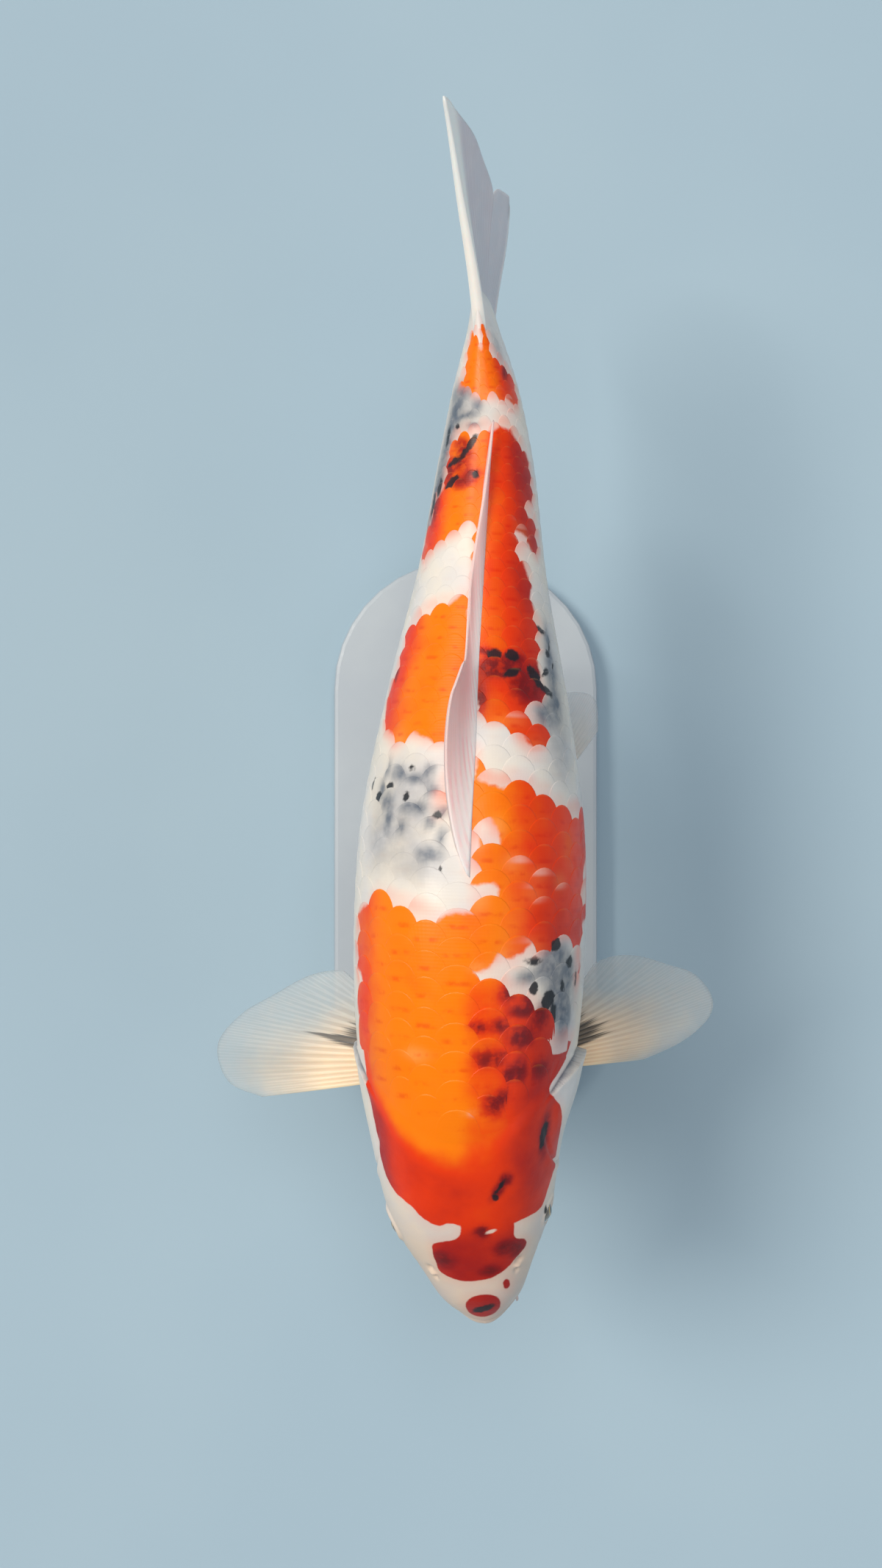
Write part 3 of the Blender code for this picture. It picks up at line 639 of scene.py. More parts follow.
def koi_paint_group():
    """Turns a piece's kept markings into its colour: white ground, grey, red with dark under it, black. The
    grey and the depth of the red also hold painted shade.

    Veil is how much of the red beneath shows through a thin white scale that lies over it.
    """
    outputs = {"Color": "Color", "Red": "Float", "Chance": "Float", "Pale": "Float"}
    group, given, out = new_group("koi_paint", {"Veil": "Float"}, outputs)
    red, beneath, black, grey = painted(group, "marks_edges")
    dark, deep, pale, chance = painted(group, "marks_tones")
    fine, wide = grain(group, 3.2), grain(group, 26, 4.0)
    ragged = (fine - 0.5) * 0.9
    in_red = stepped(red + ragged, -0.40, 0.40)
    in_black = stepped(black + ragged * 2.6, -0.8, 0.3)
    veiled = stepped(beneath + ragged, -7.0, 2.4) * given["Veil"]
    # The grey holds grey markings and painted shade: shade clouds on the fish's left flank and shadow in the
    # gill openings.
    smoke = grey * stepped(grain(group, 5.5, 4.0), 0.32, 0.62, 0.78, 1.0)
    ground = mixed(stepped(wide, 0.35, 0.65), PAINTS["cream"], PAINTS["white"])
    ground = mixed(smoke, ground, PAINTS["smoke"])
    ground = mixed(pale * 0.50, ground, PAINTS["pink"])
    ground = mixed(veiled, ground, PAINTS["veiled red"])
    stain = dark * stepped(grain(group, 4.0, 3.0), 0.34, 0.58, 0.55, 1.0)
    # The depth of the red holds painted shade as well as the red's own tone: deeper red where the body is
    # turned away from the key lamp.
    lively = deep + (wide - 0.5) * 0.75 + (chance - 0.5) * 0.10 + stain * 0.65
    warm = mixed(stepped(lively, 0.0, 0.65), PAINTS["orange"], PAINTS["red"])
    warm = mixed(stepped(lively, 0.55, 1.25), warm, PAINTS["deep red"])
    warm = mixed(stain * 0.84, warm, PAINTS["stained red"])
    reddish = stepped(deep, 0.20, 0.40)
    warm = mixed(pale * (0.45 - reddish * 0.25), warm, PAINTS["blush"])
    shown = mixed(in_black * 0.95, mixed(in_red, ground, warm), PAINTS["black"])
    fill(out, {"Color": shown, "Red": in_red, "Chance": chance, "Pale": pale * reddish})
    return group


KOI_PAINT = koi_paint_group()


def new_material(name):
    """A material with an empty Principled shader, and its node tree."""
    material = bpy.data.materials.new(name)
    material.use_nodes = True
    tree = material.node_tree
    return material, tree, tree.nodes["Principled BSDF"]


def set_shader(shader, **values):
    fill(shader.inputs, {name.replace("_", " "): value for name, value in values.items()})


def skin_finish():
    """Wet skin: the painted markings, painted shade on the snout, and fine pores."""
    material, tree, shader = new_material("wet_skin")
    coat = node(tree, "Group", {"Veil": 0.18}, node_tree=KOI_PAINT)
    backward = node(tree, "SeparateXYZ", {0: node(tree, "TexCoord")["Object"]})["Y"]
    # Painted shade: the snout and the front of the head are multiplied darker, fading out between 30 and 100
    # mm back.
    snout_shade = 1 - stepped(backward, SNOUT_Y + 0.030, SNOUT_Y + 0.100)
    shown = mixed(snout_shade, coat["Color"], (0.86, 0.76, 0.69, 1), "MULTIPLY")
    pores = bumped(grain(tree, 1.1) * 0.5 + grain(tree, 4.0), 0.25, 0.0005)
    set_shader(shader, Base_Color=shown, Roughness=drifting(tree, 9, 0.32, 0.46), Normal=pores)
    set_shader(shader, Specular_IOR_Level=0.20, Coat_Weight=0.06, Coat_Roughness=0.12)
    return material


def on_unwrap(share):
    """A place across the unwrap of the skin, inside its margins."""
    return UNWRAP_MARGIN + (1 - 2 * UNWRAP_MARGIN) * share


def make_skin():
    """The skin from its grid, closed at the snout and the tail root, with its markings and its unwrap."""
    along, angle, grid = skin_grid()
    rows, around = along.shape
    points = np.concatenate([grid.reshape(-1, 3), [grid[0].mean(0) - (0, 0.0002, 0), grid[-1].mean(0)]])
    skin = make_piece("skin", points, around_quads(rows, around), end_caps(rows, around))
    turn = np.append(off_ridge(angle).ravel(), [0, 0])
    place = np.append(along.ravel(), [along[0, 0], along[-1, 0]])
    edges, tones = markings((place, turn), (place, turn), 0.5 + 0 * turn)
    paint(skin, "marks_edges", edges)
    paint(skin, "marks_tones", tones)
    level = on_unwrap(along[:, 0] / STATIONS["flesh end"][0])
    i, j = np.meshgrid(np.arange(rows - 1), np.arange(around), indexing="ij")
    left, right = on_unwrap(j / around), on_unwrap((j + 1) / around)
    low, high, one, next_one = level[i], level[i + 1], left[0], right[0]
    quad_uv = np.stack([left, low, left, high, right, high, right, low], -1)
    between, first, last = (one + next_one) / 2, level[0] + 0 * one, level[-1] + 0 * one
    front_uv = np.stack([between, first * 0 + UNWRAP_MARGIN - 0.001, one, first, next_one, first], -1)
    rear_uv = np.stack([between, last * 0 + 1.001 - UNWRAP_MARGIN, next_one, last, one, last], -1)
    unwrap(skin, np.concatenate([part.reshape(-1, 2) for part in (quad_uv, front_uv, rear_uv)]))
    skin.data.materials.append(skin_finish())
    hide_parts("head", "lower_jaw", "gill_cover_left", "gill_cover_right", "trunk", "tail_stalk")
    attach(skin, "root")


make_skin()


# ---- Scales ---------------------------------------------------------------------------------------
# Large round scales lie like roof tiles from the nape and gill covers to the tail root. Each is a thin
# horny leaf, rooted in the skin and free at its rear rim, and one row along each side carries the lateral
# line's small tubes.

SCALE_ROWS = 26
PITCH_FRONT, PITCH_REAR, PITCH_FALLS_FROM = 0.0143, 0.0065, 0.15
FIRST_ROOT, LAST_TIP = 0.080, 0.5215
SCALE_OVERLAP = 1.9  # length of a scale over the pitch of its row
SCALE_BREADTH = 0.74  # half breadth of a scale over the spacing of the rows
SCALES_END = 0.510
ROOT_DEPTH, RIM_HEIGHT, RIM_THICKNESS, DOME = 0.00025, 0.00018, 0.00016, 0.00005
LATERAL_ROW, TUBE_HEIGHT = 6, 0.00030
SCALE_BREADTHS = 12
SCALE_STEPS = (0, 0.22, 0.36, 0.46, 0.54, 0.62, 0.70, 0.78, 0.85, 0.92, 0.97, 1, 1)  # the last drops
MIDDLE_STEP = 8  # the middle of a scale's bare part
PATCH_FROM_CENTRE, SPOT_FROM_CENTRE = 0.66, 0.12  # how far a scale takes its colours from its own middle
HALF_PATCH = 0.0015  # half of a scale's patch on the unwrap


def pitch_at(along):
    """The distance from one scale's root to the next one's in its row, which falls evenly toward the tail."""
    share = np.clip((along - PITCH_FALLS_FROM) / (SCALES_END - PITCH_FALLS_FROM), 0, 1)
    return PITCH_FRONT + (PITCH_REAR - PITCH_FRONT) * share


def scale_roots():
    """Where scales are rooted: rows along the body behind the head, each half a pitch off its neighbours."""
    count = int(1.2 * SCALES_END / PITCH_REAR)
    starts = np.zeros((2, count))
    for offset in (0, 1):
        at = FIRST_ROOT + offset * PITCH_FRONT / 2
        for k in range(count):
            starts[offset, k] = at
            at += pitch_at(at)
    rows = np.arange(SCALE_ROWS) - SCALE_ROWS // 2
    turn = (rows * 2 * math.pi / SCALE_ROWS)[:, None] + np.zeros(count)
    along = starts[rows % 2]
    kept = (along > head_edge(math.pi / 2 - turn) - 0.003) & (along < SCALES_END)
    return along[kept], turn[kept], (rows[:, None] + np.zeros(count, int))[kept]


def scale_leaves(along, turn, row, chance):
    """Points of all scales as one array: scale, step along, step across.

    A leaf is a grid whose steps across follow a sine, so that its rear rim is round. It starts under the
    skin, rises clear of it and on to its free rim, and its last step drops from the rim to give it an edge.
    The scales behind the head lie flatter.
    """
    pitch = pitch_at(along)
    length = (SCALE_OVERLAP * pitch * (1 + 0.06 * (chance - 0.5)))[:, None, None]
    across = np.sin(np.linspace(-1, 1, SCALE_BREADTHS + 1) * math.radians(84))[None, None, :]
    out = np.array(SCALE_STEPS)[None, :, None]
    rim = 0.50 + 0.50 * np.sqrt(1 - across**2)
    forward = out * rim * length
    place = np.clip(along[:, None, None] + forward, 0, LAST_TIP)
    half = SCALE_BREADTH * 2 * math.pi / SCALE_ROWS * (0.72 + 0.28 * rise(out, 0, 0.5))
    around = turn[:, None, None] + across * half + 0 * forward
    height = RIM_HEIGHT * out * rim - ROOT_DEPTH * (1 - rise(out, 0.0, 0.34)) + DOME * (1 - across**2) * out
    on_line = (np.abs(row) == LATERAL_ROW)[:, None, None]
    tube = TUBE_HEIGHT * bump(across, 0.16) * rise(out, 0.45, 0.60) * (1 - rise(out, 0.86, 0.97))
    height = height + on_line * tube
    height[:, -1] -= RIM_THICKNESS
    behind_head = rise(along - head_edge(math.pi / 2 - turn), 0, 0.030)[:, None, None]
    small = pitch[:, None, None] / PITCH_FRONT
    height = height * (0.45 + 0.55 * small) * (0.45 + 0.55 * behind_head)
    points = along_spine(flesh(place, math.pi / 2 - around, height - COAT_DEPTH))
    return points, place, around, out * rim + 0 * forward, across + 0 * forward


def scale_finish():
    """A scale's horn: painted markings, a paler rim, a dark dash across its middle, fine rings and rays."""
    material, tree, shader = new_material("scale_horn")
    out, across, _, _ = painted(tree, "leaf")
    coat = node(tree, "Group", {"Veil": stepped(out, 0.50, 0.95, 0.25, 0.78)}, node_tree=KOI_PAINT)
    red, rim = coat["Red"], stepped(out, 0.93, 0.985)
    shown = mixed(rim * red * 0.09, coat["Color"], (1.0, 0.36, 0.05, 1))
    shown = mixed(rim * (1 - red) * 0.10, shown, (0.60, 0.58, 0.58, 1))
    shown = mixed(coat["Pale"] * 0.75 * stepped(out, 0.80, 0.90), shown, (0.92, 0.46, 0.38, 1))
    dash = stepped(out, 0.57, 0.63) * stepped(out, 0.64, 0.73, 1.0, 0.0)
    dash = dash * (1 - stepped(abs(across), 0.25, 0.75))
    dash = dash * stepped(grain(tree, 6, 4.0), 0.42, 0.62, 0.05, 0.75) * (red * 0.92 + 0.08)
    shown = mixed(dash, shown, (0.88, 0.50, 0.42, 1), "MULTIPLY")
    lights = (coat["Chance"] - 0.5) * 0.06 + 1
    shown = mixed(1.0, shown, node(tree, "CombineColor", {0: lights, 1: lights, 2: lights}), "MULTIPLY")
    rings, rays = calc("SINE", out * 95), calc("SINE", across / (out + 0.2) * 34)
    relief = bumped(rings + rays * 0.8, 0.05, 0.0002)
    set_shader(shader, Base_Color=shown, Roughness=drifting(tree, 7, 0.30, 0.44), Normal=relief)
    set_shader(shader, Specular_IOR_Level=0.20, Coat_Weight=0.06, Coat_Roughness=0.12)
    return material


def make_scales(name, along, turn, row, chance, finish):
    """One side's scales as one mesh. Each keeps a small patch of the unwrap at its root's own place.

    A scale's bare part takes its colours from near its middle. Its root, and all of the first scales behind
    the head, take them from where they lie.
    """
    points, place, around, out, across = scale_leaves(along, turn, row, chance)
    count, steps, wide = points.shape[:3]
    i, j = np.meshgrid(np.arange(steps - 1), np.arange(wide - 1), indexing="ij")
    at = i * wide + j
    leaf = np.stack([at, at + 1, at + wide + 1, at + wide], -1).reshape(-1, 4)
    quads = (np.arange(count)[:, None, None] * steps * wide + leaf[None]).reshape(-1, 4)
    scales = make_piece(name, points.reshape(-1, 3), quads)
    own = chance[:, None, None] + 0 * out
    centre = (place[:, MIDDLE_STEP, wide // 2][:, None, None], turn[:, None, None])
    from_head = (along - head_edge(math.pi / 2 - turn))[:, None, None]

    def drawn_in(share):
        share = share * rise(out, 0.08, 0.42) * rise(from_head, 0.001, 0.012)
        return [share * middle + (1 - share) * local for middle, local in zip(centre, (place, around))]

    edges, tones = markings(drawn_in(PATCH_FROM_CENTRE), drawn_in(SPOT_FROM_CENTRE), own)
    paint(scales, "marks_edges", edges)
    paint(scales, "marks_tones", tones)
    paint(scales, "leaf", np.stack([out, across, own, own], -1))
    u = on_unwrap(0.5 + turn / (2 * math.pi))[:, None, None] + HALF_PATCH * across
    v = on_unwrap(along / STATIONS["flesh end"][0])[:, None, None] + HALF_PATCH * (2 * out - 1)
    unwrap(scales, np.stack([u, v], -1).reshape(-1, 2)[quads.ravel()])
    scales.data.materials.append(finish)
    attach(scales, "root")


root_along, root_turn, root_row = scale_roots()
root_chance = np.random.default_rng(7).random(len(root_along))
scale_horn = scale_finish()
for side_name, on_side in (("left", root_row >= 0), ("right", root_row < 0)):
    chosen = (root_along[on_side], root_turn[on_side], root_row[on_side], root_chance[on_side])
    make_scales("scales_" + side_name, *chosen, scale_horn)


# ---- Eyes -----------------------------------------------------------------------------------------
# Each eye is a glass ball set in its socket, painted behind with a round black pupil in a thin gold ring
# and a dark silvery iris, and polished so that it looks wet.

EYE_RINGS, EYE_AROUND = 40, 48
PUPIL_DEG, GOLD_DEG, IRIS_DEG = 24, 28, 52
CORNEA_BULGE, EYE_INSET = 0.0004, 0.0002


def eye_finish():
    """Pupil, gold ring and iris, by the angle off the middle of the eye."""
    material, tree, shader = new_material("eye_glass")
    off_middle = node(tree, "Attribute", attribute_name="eye")["Fac"]

    def beyond(from_deg, to_deg):
        return stepped(off_middle, from_deg / 90, to_deg / 90)

    shown = mixed(0.45 + (grain(tree, 0.9) - 0.5) * 0.6, (0.050, 0.032, 0.022, 1), (0.34, 0.29, 0.22, 1))
    shown = mixed(beyond(GOLD_DEG, GOLD_DEG + 5), (0.62, 0.38, 0.10, 1), shown)
    shown = mixed(beyond(PUPIL_DEG - 1, PUPIL_DEG + 1), (0.004, 0.004, 0.005, 1), shown)
    shown = mixed(beyond(IRIS_DEG, IRIS_DEG + 9), shown, (0.055, 0.045, 0.045, 1))
    set_shader(shader, Base_Color=shown, Roughness=0.12, Specular_IOR_Level=0.6)
    set_shader(shader, Coat_Weight=1.0, Coat_Roughness=0.02)
    return material


def make_eye(name, node_name, side, finish):
    """A ball with its poles facing out and in, a little fuller over the iris."""
    polar = np.linspace(0, math.pi, EYE_RINGS + 1)[1:-1, None]
    round_it = np.linspace(0, 2 * math.pi, EYE_AROUND, endpoint=False)[None, :]
    radius = EYE_RADIUS - EYE_INSET + CORNEA_BULGE * bump(polar, math.radians(45))
    outward_share, off_axis = side * np.cos(polar) + 0 * round_it, np.sin(polar)
    ways = (outward_share, off_axis * np.cos(round_it), off_axis * np.sin(round_it))
    ball = (radius[..., None] * np.stack(ways, -1)).reshape(-1, 3)
    poles = [(side * (EYE_RADIUS - EYE_INSET + CORNEA_BULGE), 0, 0), (-side * (EYE_RADIUS - EYE_INSET), 0, 0)]
    quads, caps = around_quads(EYE_RINGS - 1, EYE_AROUND), end_caps(EYE_RINGS - 1, EYE_AROUND)
    if side < 0:
        quads, caps = quads[:, ::-1], caps[:, ::-1]
    centre = np.array([side * EYE_AT[0], EYE_AT[1], EYE_AT[2]])
    eye = make_piece(name, along_spine(np.concatenate([ball, poles]) + centre), quads, caps)
    off_middle = np.append((polar + 0 * round_it).ravel(), [0, math.pi]) / (math.pi / 2)
    paint(eye, "eye", np.stack([off_middle] * 3 + [1 + 0 * off_middle], -1))
    eye.data.materials.append(finish)
    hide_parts(node_name)
    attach(eye, "root")


eye_glass = eye_finish()
make_eye("eyeball_left", "eye_left", 1, eye_glass)
make_eye("eyeball_right", "eye_right", -1, eye_glass)


# ---- Feelers --------------------------------------------------------------------------------------
# Two short feelers on the upper lip and two longer ones at the corners of the mouth: soft tapering flesh,
# cast with the skin, in a wet finish of their own.

FEELERS = {  # half width of the root, and points across, from the snout and up
    "upper": (0.0011, [(0.0120, 0.0140, -0.0150), (0.0165, 0.0100, -0.0190), (0.0170, 0.0070, -0.0230),
                       (0.0165, 0.0050, -0.0275)]),
    "corner": (0.0014, [(0.0145, 0.0300, -0.0320), (0.0205, 0.0265, -0.0360), (0.0220, 0.0230, -0.0425),
                        (0.0210, 0.0190, -0.0490)]),
}
FEELER_STEPS, FEELER_AROUND = 36, 16


def feeler_finish():
    """Soft flesh, paler and pinker by turns."""
    material, tree, shader = new_material("feeler_skin")
    shown = mixed(stepped(grain(tree, 3), 0.35, 0.65), (0.80, 0.62, 0.54, 1), (0.70, 0.46, 0.40, 1))
    set_shader(shader, Base_Color=shown, Roughness=drifting(tree, 2, 0.30, 0.45))
    set_shader(shader, Coat_Weight=0.3, Coat_Roughness=0.1)
    return material


def make_feeler(kind, side_name, side, finish):
    """A round tube along a smooth curve through the points, tapering to half and closed at each end."""
    radius, points = FEELERS[kind]
    path = through(np.linspace(0, 1, len(points)), points, np.linspace(0, 1, FEELER_STEPS)) * (side, 1, 1)
    ahead = np.gradient(path, axis=0)
    ahead /= np.linalg.norm(ahead, axis=1, keepdims=True)
    first = np.cross(ahead, (0, 1, 0.2))
    first /= np.linalg.norm(first, axis=1, keepdims=True)
    second = np.cross(ahead, first)
    share = np.linspace(0, 1, FEELER_STEPS)[:, None, None]
    thick = radius * (1 - 0.5 * share) * np.sqrt(np.clip(1 - ((share - 0.9) / 0.1).clip(0) ** 2 * 0.9, 0, 1))
    turn = np.linspace(0, 2 * math.pi, FEELER_AROUND, endpoint=False)[None, :, None]
    rings = path[:, None] + thick * (np.cos(turn) * first[:, None] + np.sin(turn) * second[:, None])
    tip = path[-1:] + ahead[-1:] * radius * 0.2
    points = along_spine(np.concatenate([rings.reshape(-1, 3), path[:1], tip]))
    quads = around_quads(FEELER_STEPS, FEELER_AROUND)[:, ::-1]
    caps = end_caps(FEELER_STEPS, FEELER_AROUND)[:, [0, 2, 1]]
    feeler = make_piece(f"feeler_{kind}_{side_name}", points, quads, caps)
    feeler.data.materials.append(finish)
    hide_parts(f"barbel_{kind}_{side_name}")
    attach(feeler, "root")


feeler_skin = feeler_finish()
for kind in FEELERS:
    make_feeler(kind, "left", 1, feeler_skin)
    make_feeler(kind, "right", -1, feeler_skin)


# ---- Fins -----------------------------------------------------------------------------------------
# Each fin is a thin clear web over soft rays that branch toward its edge, cast in tinted resin. The back
# fin is folded down, the side fins are spread, and dark streaks run from the roots of the front pair.

FIN_COLOURS = {  # rays, milky web, thin web, and how solid the thin web is
    "dorsal_fin": ((1.0, 0.38, 0.40, 1), (1.0, 0.82, 0.78, 1), (1.0, 0.64, 0.60, 1), 0.97),
    "tail_fin": ((0.74, 0.70, 0.72, 1), (1.0, 0.96, 0.90, 1), (0.66, 0.64, 0.68, 1), 0.86),
    "anal_fin": ((0.85, 0.76, 0.66, 1), (0.86, 0.79, 0.70, 1), (0.70, 0.68, 0.66, 1), 0.75),
    "pectoral_fin": ((0.90, 0.76, 0.58, 1), (0.88, 0.68, 0.46, 1), (0.50, 0.54, 0.54, 1), 0.36),
    "pelvic_fin": ((0.80, 0.70, 0.58, 1), (0.80, 0.72, 0.62, 1), (0.52, 0.56, 0.59, 1), 0.34),
}
FIN_RAY_LOOKS = {  # how dark the web is between rays, how strongly rays are tinted, and how solid they are
    "dorsal_fin": (0.06, 0.40, 0.1), "tail_fin": (0.30, 0.30, 0.2), "side fins": (0.34, 0.14, 0.05),
}
FIN_THICKNESS = {  # at the root and at the edge
    "dorsal_fin": (0.0034, 0.0011), "tail_fin": (0.0034, 0.0011), "anal_fin": (0.0030, 0.0010),
    "pectoral_fin": (0.0040, 0.0011), "pelvic_fin": (0.0030, 0.0010),
}
FIN_RAYS = {"dorsal_fin": 20, "tail_fin": 24, "anal_fin": 8, "pectoral_fin": 16, "pelvic_fin": 10}
STEPS_A_RAY, FIN_STEPS = 9, 56
FORK, UPPER_REACH, LOWER_REACH, TAIL_HEIGHT = 0.5765, 0.0305, 0.0175, 0.073
TAIL_BEND, TAIL_CUP = 0.0072, 1.20
DORSAL_START, DORSAL_LENGTH, DORSAL_CLIMB_DEG, DORSAL_BOW = 0.233, 0.1835, 11.5, 0.0078
UNDER_BODY = 0.21  # share of the front fins that lies under the body
EDGE_BULK = 0.0017  # how much fuller the tail fin's leading edges are


def fan(roots, ways, lengths, share, out, curl):
    """Rays start along a root line, turn smoothly from way to way, and curl with the square of out."""
    share, out = share[:, None, None], out[None, :, None]
    root = (1 - share) * np.array(roots[0]) + share * np.array(roots[1])
    way = through(np.linspace(0, 1, len(ways)), ways, share[:, 0, 0])[:, None, :]
    way /= np.linalg.norm(way, axis=-1, keepdims=True)
    length = through(np.linspace(0, 1, len(lengths)), lengths, share)
    return root + out * length * way + (out * length) ** 2 * np.array(curl, float)


def pectoral_fin(side, share, out):
    """The paddle behind the gill cover, held out level. The fish's right one is held further forward."""
    slopes = [-0.12, -0.13, -0.15, -0.18, -0.22, -0.30]
    if side > 0:
        front, back = 0.1270, [0.10, 0.17, 0.28, 0.46, 0.72, 1.50]
        lengths = [0.053, 0.077, 0.092, 0.087, 0.069, 0.041]
    else:
        front, back = 0.1200, [-0.17, -0.14, -0.03, 0.09, 0.28, 0.76]
        lengths = [0.079, 0.099, 0.105, 0.093, 0.070, 0.042]
    roots = [(0.038, front, -0.041), (0.040, 0.1495, -0.043)]
    ways = [(1, sweep, slope) for sweep, slope in zip(back, slopes)]
    return fan(roots, ways, lengths, share, out, (0, 0.2, -0.8)) * (side, 1, 1)


def pelvic_fin(side, share, out):
    """The smaller paddle under the belly. The fish's left fin is spread further than the other."""
    spread = 0.76 if side > 0 else 0.26
    roots = [(0.020, 0.2505, -0.064), (0.011, 0.2655, -0.066)]
    ways = [(spread, 1, -0.34), (spread * 0.62, 1, -0.40), (spread * 0.10, 1, -0.34)]
    return fan(roots, ways, [0.072, 0.084, 0.080, 0.066, 0.046], share, out, (0, 0.6, 0.8)) * (side, 1, 1)


def anal_fin(_, share, out):
    """The small fin behind the vent, swept back."""
    roots = [(0, 0.3845, -0.039), (0, 0.4175, -0.033)]
    ways = [(0.05, 0.72, -1), (0.04, 1.0, -1), (0, 1.2, -0.70)]
    return fan(roots, ways, [0.063, 0.062, 0.054, 0.043, 0.028], share, out, (0.4, 1.2, 0.8))


def dorsal_fin(_, share, out):
    """The long fin of the back, folded down: its rays lie back at a low angle.

    Its base runs near the top line of the leaning body. The long rays in front bow out to the fish's right,
    and the last ones lean to its left.
    """
    at = DORSAL_START + DORSAL_LENGTH * share
    lean = np.radians(reading(LEAN_DEG, at))
    root = flesh(at, math.pi / 2 - 0.7 * lean) - (0, 0, 0.002)
    length = through([0, 0.10, 0.26, 0.6, 1], [0.092, 0.084, 0.058, 0.046, 0.041], share)
    climb = math.radians(DORSAL_CLIMB_DEG)
    over = np.radians(through([0, 0.10, 0.26, 0.6, 0.78, 1], [34, 26, 34, 34, 8, -28], share))
    fall = np.gradient(root[:, 2], at)
    way = (-math.sin(climb) * np.sin(over), 0 * at + math.cos(climb),
           math.sin(climb) * np.cos(over) + fall * math.cos(climb))
    grid = root[:, None] + out[None, :, None] * length[:, None, None] * np.stack(way, -1)[:, None]
    bow = np.sin(math.pi * np.minimum(out, 0.999)) ** 0.6
    grid[..., 0] -= DORSAL_BOW * bow[None, :] * ((length / length[0]) ** 3)[:, None]
    return grid


def tail_fin(_, share, out):
    """The forked tail fin: rays fan out from the stalk to two broad lobes, of which the lower is the shorter.

    Its web bends to the fish's left toward the rear, and its upper and lower edges lag behind, as in a
    shallow cup.
    """
    share = 2 * share - 1
    reach = np.where(share > 0, UPPER_REACH, LOWER_REACH)
    lobe = np.abs(share) ** 0.5 * (1 - 0.10 * np.abs(share) ** 10)
    root = np.stack([0 * share, 0.5005 + 0 * share, 0.0265 * share], -1)
    end = np.stack([0 * share, FORK + reach * lobe, TAIL_HEIGHT * share], -1)
    grid = root[:, None] + out[None, :, None] * (end - root)[:, None]
    grid[..., 2] -= 0.006 * np.sin(math.pi * out)[None, :] * share[:, None]
    grid[..., 0] += TAIL_BEND * out[None, :] ** 2 - TAIL_CUP * out[None, :] * grid[..., 2] ** 2
    return grid


def fin_rays_group():
    """Where a fin's rays run, from 0 on the web to 1 on a ray. Each ray splits in two, and each branch again.

    The distance off a ray's middle is folded back about the branch's own middle, once for each split.
    """
    group, given, result = new_group("fin_rays", {"Ray": "Float", "Out": "Float"}, {"Ray": "Float"})
    out = given["Out"]
    off = abs(calc("FRACT", given["Ray"]) - 0.5)
    off = abs(off - stepped(out, 0.22, 0.75, 0.0, 0.25))
    off = abs(off - stepped(out, 0.55, 1.0, 0.0, 0.125))
    width = stepped(out, 0.0, 1.0, 0.34, 0.060)
    fill(result, {"Ray": 1 - stepped(off, width * 0.3, width)})
    return group


FIN_RAYS_GROUP = fin_rays_group()


def fin_finish(name):
    """Tinted, jointed rays and dark marks in a web that is milky at the root and thin outward."""
    ray_colour, milky_colour, web_colour, solid = FIN_COLOURS[name]
    gap, tint, ray_solid = FIN_RAY_LOOKS.get(name, FIN_RAY_LOOKS["side fins"])
    material, tree, shader = new_material(name + "_resin")
    number, out, dark, milk = painted(tree, "fin")
    ray = node(tree, "Group", {"Ray": number, "Out": out}, node_tree=FIN_RAYS_GROUP)
    cloudy = milk + (grain(tree, 14) - 0.5) * 0.5
    shown = mixed(calc("MINIMUM", calc("MAXIMUM", cloudy, 0), 1), web_colour, milky_colour)
    shown = mixed(ray * stepped(grain(tree, 14), 0.35, 0.65, 0.05, tint), shown, ray_colour)
    shown = mixed((1 - ray) * stepped(out, 0.25, 0.80, gap, 0.12), shown, (0.74, 0.66, 0.60, 1), "MULTIPLY")
    dark = dark * (0.80 + ray * 0.16)
    shown = mixed(dark, shown, (0.024, 0.020, 0.019, 1))
    solidity = (milk * 1.10 + ray * ray_solid) * (1 - solid) + solid
    solidity = solidity * stepped(out, 0.84, 1.0, 1.0, 0.55 + 0.45 * solid)
    solidity = calc("MINIMUM", calc("MAXIMUM", solidity, dark * 0.96), 1.0)
    joints = calc("SINE", out * 260) * (ray * 0.18)
    set_shader(shader, Base_Color=shown, Alpha=solidity, Roughness=stepped(ray, 0, 1, 0.44, 0.34))
    set_shader(shader, Normal=bumped(ray + joints, 0.06, 0.0003))
    set_shader(shader, Specular_IOR_Level=0.25, Coat_Weight=0.08, Coat_Roughness=0.15)
    set_shader(shader, Subsurface_Weight=0.6, Subsurface_Radius=(1.0, 0.7, 0.6), Subsurface_Scale=0.004)
    return material


